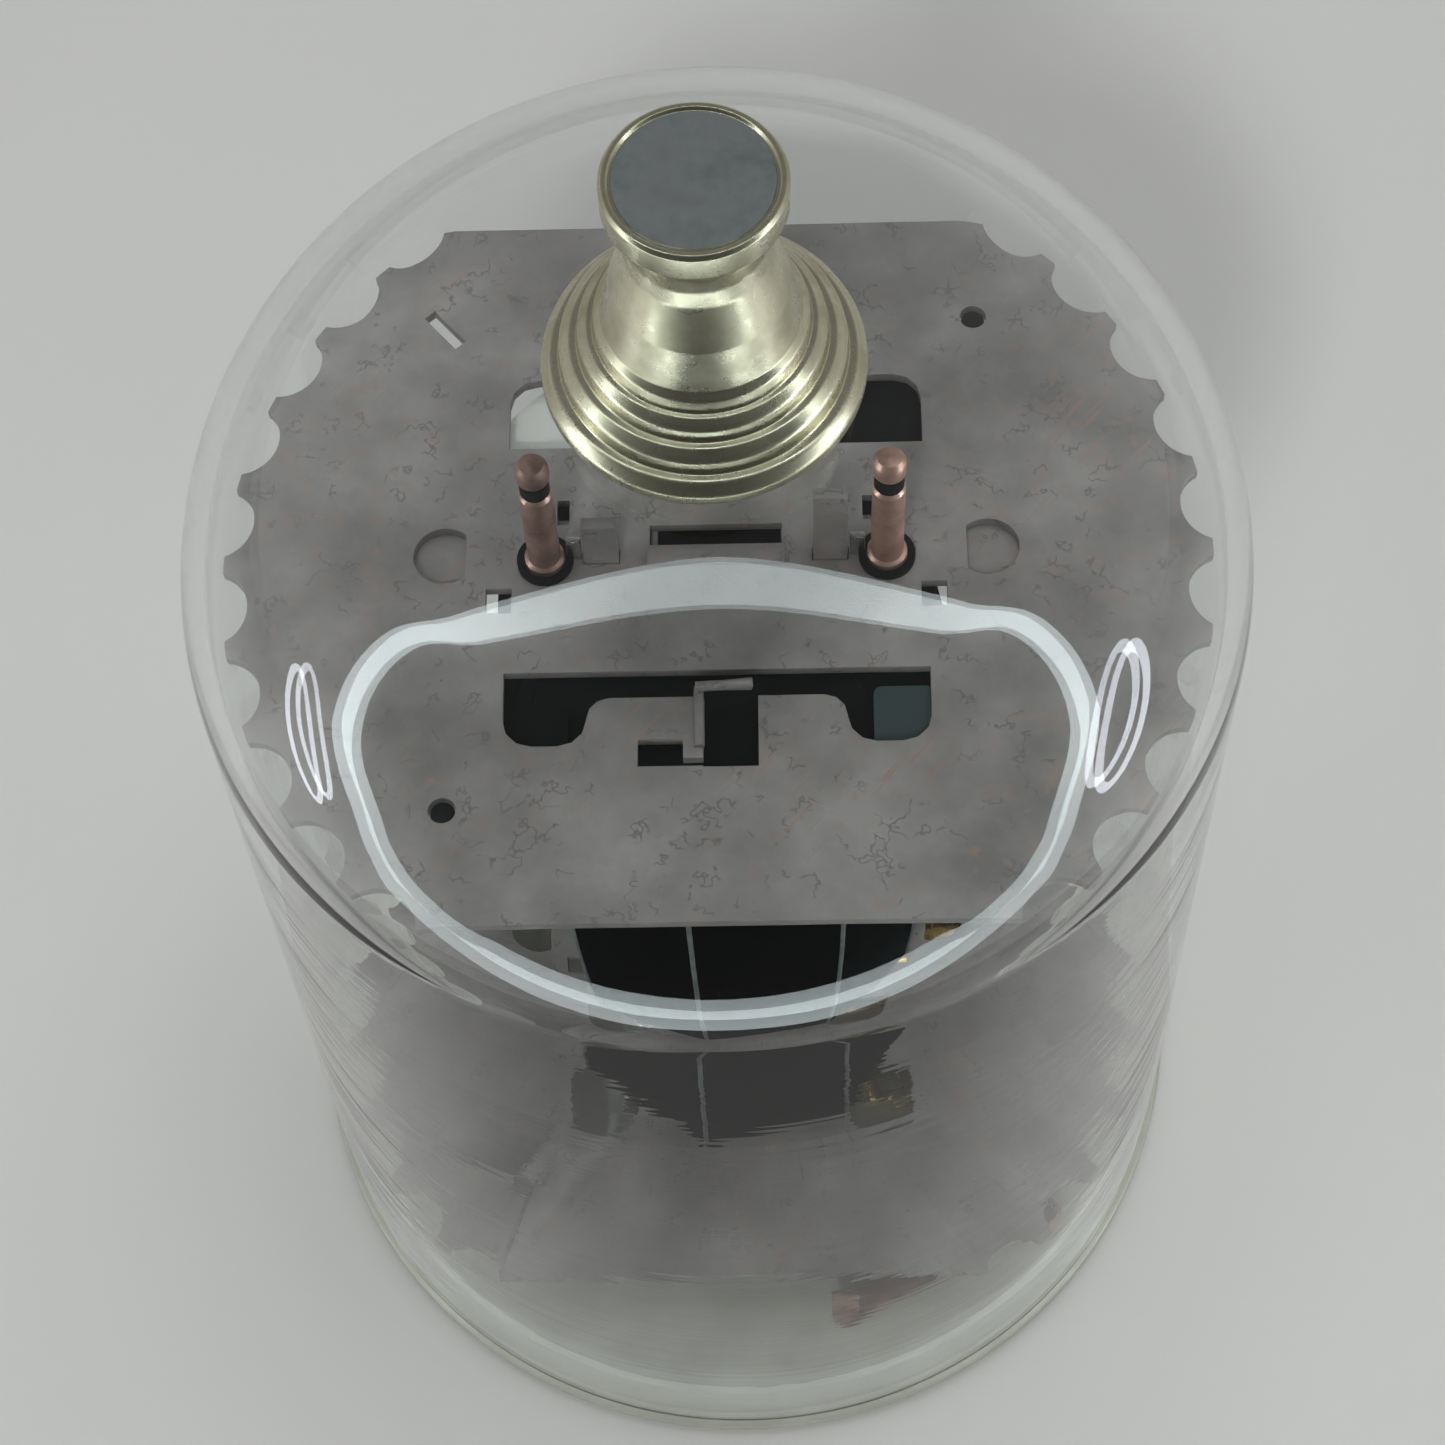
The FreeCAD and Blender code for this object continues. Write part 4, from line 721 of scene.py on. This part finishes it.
@dataclass
class Cover:
    """The lift-off cover: a clear dome and its knob."""

    wall: float = 2.0
    crown: float = 77.0
    shoulder: float = 25.5
    bore: float = 2.1
    rim: float = 0.7
    knob_bore: float = 1.95
    # painted reflection: the knob's flat top is a cool grey copy of the nickel, standing in for the bluish room that
    # it reflects
    face: Finish = Metal("knob_top_painted_reflection", "#b1b5b5", "#878c8c", 0.36, Grain.PLAIN, 0.5, 0.006)
    arc_steps: int = 30
    segments: int = 288
    radius: float = field(init=False)
    bottom: float = field(init=False)
    top: float = field(init=False)
    knob_base: float = field(init=False)
    knob_tall: float = field(init=False)

    def __post_init__(self) -> None:
        """Takes the cover's place from the frame."""
        low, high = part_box("glass_cover")
        self.radius = high.x / MM
        self.bottom = low.z / MM
        self.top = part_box("knob_felt")[0].z / MM
        low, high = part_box("cover_knob")
        self.knob_base = low.z / MM
        self.knob_tall = (high.z - low.z) / MM

    def skin(self, inset: float) -> list[tuple[float, float]]:
        """The dome's curve from the wall's top to the bore, inside the outer face by an inset."""
        round_radius = self.shoulder - inset
        ball = self.crown - inset
        ball_z = self.top - self.crown
        centre = self.radius - self.shoulder
        centre_z = ball_z + math.sqrt((self.crown - self.shoulder) ** 2 - centre ** 2)
        lean = math.atan2(centre, centre_z - ball_z)
        points = []
        for k in range(self.arc_steps + 1):
            angle = math.pi / 2 + (lean - math.pi / 2) * k / self.arc_steps
            points.append((centre + round_radius * math.sin(angle), centre_z + round_radius * math.cos(angle)))
        last = math.asin(self.bore / ball)
        for k in range(1, self.arc_steps + 1):
            angle = lean + (last - lean) * k / self.arc_steps
            points.append((ball * math.sin(angle), ball_z + ball * math.cos(angle)))
        return points

    def shell(self) -> bpy.types.Object:
        """The dome itself, with its rim rounded by the flame."""
        outer = self.skin(0)
        inner = list(reversed(self.skin(self.wall)))
        foot = Outline([
            (self.radius - self.wall, self.bottom + 6, 0), (self.radius - self.wall, self.bottom, self.rim),
            (self.radius, self.bottom, self.rim), (self.radius, self.bottom + 6, 0),
        ], closed=False)
        piece = lathe("clear_dome", foot.points() + outer + inner, FINISHES[Slot.CLEAR], self.segments)
        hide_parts("glass_cover")
        return finish_piece(piece, Body.COVER)

    def knob(self) -> bpy.types.Object:
        """The turned knob: a flange, three beads, a bell, a neck and a flat head with a lip."""
        tall = self.knob_tall
        corners = [
            (self.knob_bore, 0, 0), (11.9, 0, 0.3), (12.2, 0.6, 0.4), (12.2, 1.5, 0.8), (11.5, 2.4, 0.6),
            (10.8, 2.45, 0.15), (10.75, 2.9, 0.3), (10.7, 3.9, 0.8), (9.9, 4.5, 0.5), (9.35, 4.55, 0.15),
            (9.3, 5.0, 0.3), (9.2, 5.9, 0.7), (8.5, 6.4, 0.4), (8.1, 6.45, 0.12), (8.05, 6.9, 0.3),
            (7.9, 7.7, 0.5), (7.4, 8.1, 0.3), (7.1, 9.6, 2.5), (6.6, 12.0, 3), (6.0, 14.0, 3), (5.4, 16.0, 3),
            (5.2, 17.6, 2.5), (5.3, 19.2, 1.6), (6.0, 20.9, 0.9), (6.7, 21.5, 0.4), (6.7, tall - 0.3, 0.25),
            (6.45, tall, 0.2), (6.1, tall, 0.15), (5.9, tall - 0.22, 0.1), (0, tall - 0.22, 0),
            (0, 11, 0), (self.knob_bore, 11, 0),
        ]
        profile = [(across, self.knob_base + up) for across, up in Outline(corners, 5).points()]
        face = self.knob_base + tall - 0.21
        # painted reflection: a thin cool grey disc on the knob's top, for the room it reflects
        disc = lathe("knob_face", [(0, face), (5.8, face), (5.75, face + 0.1), (0, face + 0.12)], self.face, 96)
        finish_piece(disc, Body.COVER)
        piece = lathe("turned_knob", profile, FINISHES[Slot.KNOB], 160)
        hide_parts("cover_knob")
        return finish_piece(piece, Body.COVER)

    def build(self) -> None:
        """Builds the cover and dresses what the frame holds of it."""
        self.shell()
        self.knob()
        dress("knob_felt", FINISHES[Slot.FELT])
        dress("knob_washer", FINISHES[Slot.RUBBER])
        dress("knob_screw", FINISHES[Slot.BRIGHT])
        soften("knob_screw", 0.15)


# -------------------------------- the carousel


@dataclass
class Carousel:
    """The turning rack: two plates on a mirrored column, with its bridge and posts."""

    edge: float = 0.14
    panels: int = 8
    # painted reflection: the panels facing front and right get a lighter copy of the smoked mirror, for the bright
    # room they reflect
    painted_lit_sides: tuple[int, ...] = (1, 7, 8)
    turn: float = 11.5
    mirror_face: float = 17.4
    seam: float = 0.5
    seam_sink: float = 0.12
    post: tuple[float, float] = (13.9, -0.3)
    # painted reflection: the lighter copy of the smoked mirror, used on the panels facing front and right
    painted_lit_panel: Finish = SilveredGlass("mirror_strip_painted_lighter", "#3f4c4e", "#2b3537")
    strip: Finish = Metal("dull_zinc_strip", "#8b9292", "#6a7070", 0.4, Grain.PLAIN, 0.4, 0.004)
    # painted light: a lighter copy of the copper plating for the right post, as if it were lit more than the left
    # one
    painted_lit_copper: Finish = Metal("copper_plate_painted_lit", "#d2ad9c", "#a5806f", 0.42, Grain.TURNED_UPRIGHT, 0.3, 0.006)
    pad_slate: Finish = Moulded("slate_rubber_pad", "#353f3e", 0.6, 0.1)
    pad_black: Finish = Moulded("black_rubber_pad", "#080a0a", 0.6, 0.1)
    pad_pale: Finish = Moulded("pale_card_pad", "#bcbdb6", 0.8)
    top: float = field(init=False)

    def __post_init__(self) -> None:
        """Takes the upper plate's face from the frame."""
        self.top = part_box("lug_clips")[0].z / MM - 0.05

    def seams(self) -> None:
        """The bright strips that cover the joints between the mirror panels."""
        low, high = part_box("mirror_panel_1")
        reach = self.mirror_face / math.cos(math.pi / self.panels) - self.seam_sink
        for k in range(self.panels):
            angle = math.radians(self.turn + 360 / self.panels * (k + 0.5))
            foot = Vector((reach * MM * math.cos(angle), reach * MM * math.sin(angle), low.z))
            head = foot.copy()
            head.z = high.z
            strip = sweep("seam_strip_%d" % (k + 1), [foot, head], ellipse(self.seam, self.seam),
                          self.strip, Vector((math.cos(angle), math.sin(angle), 0)))
            finish_piece(strip, Body.CAROUSEL)

    def plugs(self) -> None:
        """The rubber plugs that close the two small round holes from below."""
        for name, x, y in (("hole_plug_right", 21.7, 22.6), ("hole_plug_left", -21.7, -22.6)):
            low = self.top - 1.7
            plug = lathe(name, [(0, low), (1.0, low), (1.0, low + 1.0), (0, low + 1.0)], FINISHES[Slot.RUBBER], 32)
            plug.location = move(x, y, 0)
            finish_piece(plug, Body.CAROUSEL)

    def blanks(self) -> None:
        """The half-moon blanks, sheared down through the plate and still standing under their holes."""
        for name, way in (("moon_blank_right", 1), ("moon_blank_left", -1)):
            turns = [math.radians(-130 + 260 * k / 20) for k in range(21)]
            outline = [(way * (22.1 + 3.0 * math.cos(a)), 0.4 + 3.0 * math.sin(a)) for a in turns]
            slab(name, outline, self.top - 1.95, self.top - 1.1, FINISHES[Slot.PLATE])

    def pads(self) -> None:
        """The packing pads on the cap: two under the near lobes, and a pale one in the far left notch."""
        _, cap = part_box("column_cap")
        low = cap.z / MM
        near_right = Outline([(12.5, -17.3, 1.4), (17.4, -17.3, 1.4), (17.4, -11.6, 0.8), (12.5, -11.6, 0.8)])
        slab("pad_near_right", near_right.points(), low, low + 0.8, self.pad_slate)
        near_left = Outline([(-17.4, -17.3, 1.4), (-12.0, -17.3, 1.4), (-12.0, -12.6, 1.0), (-17.4, -12.6, 1.0)])
        slab("pad_near_left", near_left.points(), low, low + 0.5, self.pad_black)
        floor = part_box("column_core")[1].z / MM
        far_left = Outline([(-17.3, 10.0, 0.6), (-9.95, 10.0, 0.6), (-9.95, 17.3, 0.6), (-14.6, 17.3, 2.0),
                            (-17.3, 14.6, 2.0)])
        slab("pad_far_left", far_left.points(), floor, floor + 1.2, self.pad_pale)

    def post_shade_rings(self) -> None:
        """Painted shade: black rings in the posts' waists, under their heads, and black rings round their feet on
        the plate.
        """
        across, along = self.post
        for name, x in (("left", -across), ("right", across)):
            waist = self.top + 11.25
            # painted shade: a black ring where the post's head shades its neck
            ring = lathe("post_neck_shade_" + name, [(1.0, waist), (1.2, waist + 0.1), (1.2, waist + 1.5),
                                               (1.0, waist + 1.6)], FINISHES[Slot.BLACK], 48)
            ring.location = move(x, along, 0)
            finish_piece(ring, Body.CAROUSEL)
            foot = self.top
            # painted shade: a black ring round the post's foot, where it meets the plate
            foot_shade_ring = lathe("post_foot_shade_" + name, [(1.7, foot + 0.02), (2.3, foot + 0.02), (2.3, foot + 0.5),
                                                   (1.7, foot + 0.5)], FINISHES[Slot.BLACK], 48)
            foot_shade_ring.location = move(x, along, 0)
            finish_piece(foot_shade_ring, Body.CAROUSEL)

    def hook(self) -> None:
        """The lanced hook: a tongue of the plate that rises by the flag slot and curls over to the right."""
        z = self.top
        spots = [move(-1.4, -17.45, z + 0.22), move(-1.4, -15.4, z + 0.25), move(-1.4, -13.8, z + 0.4),
                 move(-1.4, -13.1, z + 1.3), move(-1.15, -13.1, z + 2.05), move(0.6, -13.05, z + 2.15),
                 move(2.9, -12.95, z + 2.35)]
        piece = sweep("lanced_hook", curve_through(spots), ellipse(0.85, 0.75, 16), FINISHES[Slot.PLATE])
        finish_piece(piece, Body.CAROUSEL)

    def build(self) -> None:
        """Dresses the rack's parts and adds its trim."""
        for node in ("top_plate", "lower_plate", "top_bridge"):
            dress(node, FINISHES[Slot.PLATE])
            soften(node, self.edge)
        for k in range(1, self.panels + 1):
            # painted reflection: the front and right panels get the lighter mirror copy, the others the dark one
            dress("mirror_panel_%d" % k, self.painted_lit_panel if k in self.painted_lit_sides else FINISHES[Slot.MIRROR])
        dress("column_core", FINISHES[Slot.WOOD])
        dress("copper_post_left", FINISHES[Slot.COPPER])
        # painted light: the right post takes the lighter copper copy
        dress("copper_post_right", self.painted_lit_copper)
        for node in ("copper_post_left", "copper_post_right"):
            soften(node, 0.12)
        for node in ("bridge_screws", "lug_clips", "tie_rod", "tie_washer", "tie_nut"):
            dress(node, FINISHES[Slot.BRIGHT])
            soften(node, 0.1)
        dress("drive_hub", FINISHES[Slot.BRASS])
        dress("spring_barrel", FINISHES[Slot.BRASS])
        dress("barrel_lid", FINISHES[Slot.LID])
        dress("mainspring", FINISHES[Slot.SPRING])
        for node in ("drive_hub", "barrel_lid"):
            soften(node, 0.15)
        dress("column_cap", FINISHES[Slot.BLACK])
        soften("column_cap", 0.2)
        self.seams()
        self.hook()
        self.plugs()
        self.blanks()
        self.pads()
        # the black rings of painted shade on the posts
        self.post_shade_rings()


# -------------------------------- the base and the movement


@dataclass
class Base:
    """The enamelled pan on its felt ring, with the bush and the winding key under it."""

    def build(self) -> None:
        """Dresses the pan and what is fixed under it."""
        dress("base_foot_ring", FINISHES[Slot.FELT])
        dress("base_pan", FINISHES[Slot.PAN])
        dress("arbor_bush", FINISHES[Slot.BRASS])
        for node in ("base_foot_ring", "base_pan"):
            soften(node, 0.25)
        for node in ("winding_key", "ratchet_wheel", "click_pawl"):
            dress(node, FINISHES[Slot.KEY])
            soften(node, 0.2)
        for node in ("winding_arbor", "click_screw"):
            dress(node, FINISHES[Slot.BRIGHT])


@dataclass
class Movement:
    """The playing movement: pinned cylinder, comb, gear train, governor and stop lever."""

    def build(self) -> None:
        """Dresses the movement's parts."""
        dress("bedplate", FINISHES[Slot.BED])
        soften("bedplate", 0.2)
        for node in ("music_cylinder", "cylinder_pins", "cylinder_wheel", "worm_wheel", "cylinder_pinion",
                     "transfer_pinion", "comb_riser", "gear_cheek", "cylinder_bracket", "governor_frame"):
            dress(node, FINISHES[Slot.BRASS])
        for node in ("comb_riser", "gear_cheek", "cylinder_bracket", "governor_frame", "music_cylinder"):
            soften(node, 0.1)
        for node in ("cylinder_arbor", "transfer_arbor", "governor_worm", "bedplate_screws", "bracket_screws",
                     "comb_screws", "lever_stud"):
            dress(node, FINISHES[Slot.BRIGHT])
        for node in ("bedplate_screws", "bracket_screws", "comb_screws"):
            soften(node, 0.08)
        dress("music_comb", FINISHES[Slot.COMB])
        dress("governor_fly", FINISHES[Slot.BLACK])
        dress("stop_lever", FINISHES[Slot.COPPER])
        soften("stop_lever", 0.1)


# -------------------------------- the studio


@dataclass
class Studio:
    """The floor, the lamps and the camera."""

    floor_reach: float = 2600.0
    camera_place: tuple[float, float, float] = (6.86, -145.58, 358.23)
    camera_tilt: float = 27.04
    camera_turn: float = 2.82
    camera_roll: float = -3.53
    lens: float = 89.44
    frame_glow: float = 4.4
    cloth_glow: float = 0.2
    mat_glow: float = 0.62
    loop_glow: float = 10.0
    floor_drop: float = 0.05
    frame_steps: int = 8
    frame_centre: tuple[float, float, float] = (0, -35, 112)

    def floor(self) -> None:
        """A wide pale board."""
        shape = bmesh.new()
        bmesh.ops.create_circle(shape, cap_ends=True, segments=96, radius=self.floor_reach * MM)
        mesh = to_mesh("table_top", shape)
        board = new_object("table_top", mesh, TableTop("pale_table"))
        board.location.z = -self.floor_drop * MM

    def lamp(self, name: str, place: tuple[float, float, float], aim: tuple[float, float, float],
             size: tuple[float, float], power: float, colour: str) -> None:
        """A soft box that polished surfaces don't show.

        Args:
            name: the lamp's name.
            place: its middle, in metres.
            aim: the place it faces, in metres.
            size: its width and height, in metres.
            power: its power in watts.
            colour: its sRGB colour.
        """
        light = bpy.data.lights.new(name, "AREA")
        light.shape = "RECTANGLE"
        light.size, light.size_y = size
        light.energy = power
        light.color = linear(colour)[:3]
        item = bpy.data.objects.new(name, light)
        bpy.context.scene.collection.objects.link(item)
        item.location = place
        item.rotation_euler = (Vector(aim) - Vector(place)).to_track_quat("-Z", "Y").to_euler()
        item.visible_camera = False
        item.visible_glossy = False
        item.visible_transmission = False

    def mirrored_only(self, piece: bpy.types.Object) -> None:
        """Puts a card on the stage that polished surfaces show and that lights nothing."""
        piece.visible_camera = False
        piece.visible_diffuse = False
        piece.visible_shadow = False

    def frame_path(self) -> tuple[list[Vector], list[float]]:
        """The closed line along the middle of the frame of light.

        Returns:
            The line's points in metres, and the frame's width at each in millimetres.
        """
        half = [(-8, -147, 8, 44), (-78, -150, 8, 44), (-169, -165, 8, 46), (-287, -198, 21, 48),
                (-590, -310, 63, 90), (-967, -325, 288, 165), (-1000, -195, 700, 150), (-850, -46, 1125, 140),
                (-440, -22, 1200, 190), (0, 4, 1200, 225)]
        other = [(-x * 0.96, y, z, wide) for x, y, z, wide in reversed(half[1:-1])]
        stops = half + other
        rim = [move(x, y, z) for x, y, z, _ in stops]
        path = curve_through([*rim, rim[0]], self.frame_steps)[:-1]
        widths = []
        for k in range(len(path)):
            place = k / self.frame_steps
            low = stops[int(place) % len(stops)][3]
            high = stops[(int(place) + 1) % len(stops)][3]
            widths.append(low + (high - low) * (place % 1))
        return path, widths

    def light_frame(self) -> None:
        """A closed frame of light round a dark opening: overhead, down both sides, across the table."""
        centre = move(*self.frame_centre)
        path, widths = self.frame_path()
        shape = bmesh.new()
        inner = []
        outer = []
        for k, (spot, wide) in enumerate(zip(path, widths)):
            along = path[(k + 1) % len(path)] - path[k - 1]
            side = along.cross(spot - centre).normalized()
            inner.append(shape.verts.new(spot + side * wide * MM / 2))
            outer.append(shape.verts.new(spot - side * wide * MM / 2))
        for k in range(len(path)):
            after = (k + 1) % len(path)
            shape.faces.new([inner[k], inner[after], outer[after], outer[k]])
        mesh = to_mesh("light_frame", shape)
        self.mirrored_only(new_object("light_frame", mesh, DriftingGlow("frame_glow", "#e6f2f4", self.frame_glow)))

    def dark_cloth(self) -> None:
        """A dim cone of cloth just behind the frame of light."""
        centre = move(*self.frame_centre)
        path, _ = self.frame_path()
        shape = bmesh.new()
        hub = shape.verts.new(move(0, -520, 420))
        edge = [shape.verts.new(centre + (spot - centre) * 1.012) for spot in path]
        for k in range(len(path)):
            shape.faces.new([hub, edge[k], edge[(k + 1) % len(path)]])
        mesh = to_mesh("dark_cloth", shape)
        self.mirrored_only(new_object("dark_cloth", mesh, Glow("cloth_black", "#808080", self.cloth_glow)))

    def table_cloth(self) -> None:
        """A half ring of dim cloth on the table, in front of the box."""
        shape = bmesh.new()
        turns = [math.pi * (1 + k / 32) for k in range(33)]
        near = [shape.verts.new(move(47 * math.cos(a), 47 * math.sin(a), 4)) for a in turns]
        edge = [shape.verts.new(move(150 * math.cos(a), 140 * math.sin(a), 4)) for a in turns]
        for k in range(32):
            shape.faces.new([near[k], near[k + 1], edge[k + 1], edge[k]])
        mesh = to_mesh("table_cloth", shape)
        dim = DriftingGlow("cloth_dim", "#dededa", self.mat_glow, "Y", (0.0, 1.0), (0.07, 0.28))
        self.mirrored_only(new_object("table_cloth", mesh, dim))

    def loop(self, name: str, middle: Vector, long: float, half: float, lean: float, tube: float) -> None:
        """An upright oval tube lamp beside the box, in the plane across X.

        Args:
            name: its name.
            middle: its middle, in metres.
            long: half its height in millimetres.
            half: half its width in millimetres.
            lean: how far its head leans to +Y, in degrees.
            tube: how thick its tube is in millimetres.
        """
        turn = math.radians(lean)
        spots = []
        for k in range(33):
            angle = 2 * math.pi * k / 32
            across = half * math.cos(angle)
            up = long * math.sin(angle)
            spots.append(middle + move(0, across * math.cos(turn) + up * math.sin(turn),
                                       up * math.cos(turn) - across * math.sin(turn)))
        piece = sweep(name, spots, ellipse(tube, tube, 8), Glow("glow_" + name, "#eef2fb", self.loop_glow),
                      Vector((1, 0, 0)))
        self.mirrored_only(piece)

    def world(self) -> None:
        """A dim room: pale walls low down and a dark ceiling."""
        room = bpy.data.worlds.new("room")
        bpy.context.scene.world = room
        room.use_nodes = True
        tree = room.node_tree
        way = add(tree, "ShaderNodeTexCoord").outputs["Generated"]
        height = add(tree, "ShaderNodeSeparateXYZ", {"Vector": way}).outputs["Z"]
        shade = ramp(tree, height, [(0.0, grey(0.5)), (0.3, grey(0.45)), (0.72, grey(0.2)), (1.0, grey(0.12))])
        tree.links.new(shade, tree.nodes["Background"].inputs["Color"])
        tree.nodes["Background"].inputs["Strength"].default_value = 1.0

    def camera(self) -> None:
        """The camera, high in front of the box."""
        lens = bpy.data.cameras.new("camera")
        lens.lens = self.lens
        lens.sensor_width = 36
        lens.clip_start = 0.01
        item = bpy.data.objects.new("camera", lens)
        bpy.context.scene.collection.objects.link(item)
        turn = Matrix.Rotation(math.radians(self.camera_turn), 4, "Z")
        tilt = Matrix.Rotation(math.radians(self.camera_tilt), 4, "X")
        roll = Matrix.Rotation(math.radians(self.camera_roll), 4, "Z")
        item.matrix_world = Matrix.Translation(Vector(self.camera_place) * MM) @ turn @ tilt @ roll
        bpy.context.scene.camera = item

    def build(self) -> None:
        """Sets the studio up."""
        self.camera()
        self.floor()
        self.world()
        self.lamp("key_lamp", (0.12, 0.22, 1.25), (0.0, 0.0, 0.05), (0.7, 0.7), 5.4, "#fafcff")
        self.lamp("front_lamp", (-0.18, -0.84, 1.0), (0.0, 0.0, 0.05), (0.13, 0.13), 6.2, "#fafcff")
        self.light_frame()
        self.dark_cloth()
        self.table_cloth()
        self.loop("left_loop", move(-315, -73, 87), 78, 19, 30, 8.0)
        self.loop("right_loop", move(315, -82, 100), 79, 34, 37, 13.0)
        bpy.context.scene.view_settings.view_transform = "Standard"


def main() -> None:
    """Builds the music box's looks in order."""
    logging.basicConfig(level=logging.INFO, format="%(message)s")
    Studio().build()
    Base().build()
    Movement().build()
    Carousel().build()
    Cover().build()


if __name__ == "__main__":
    main()
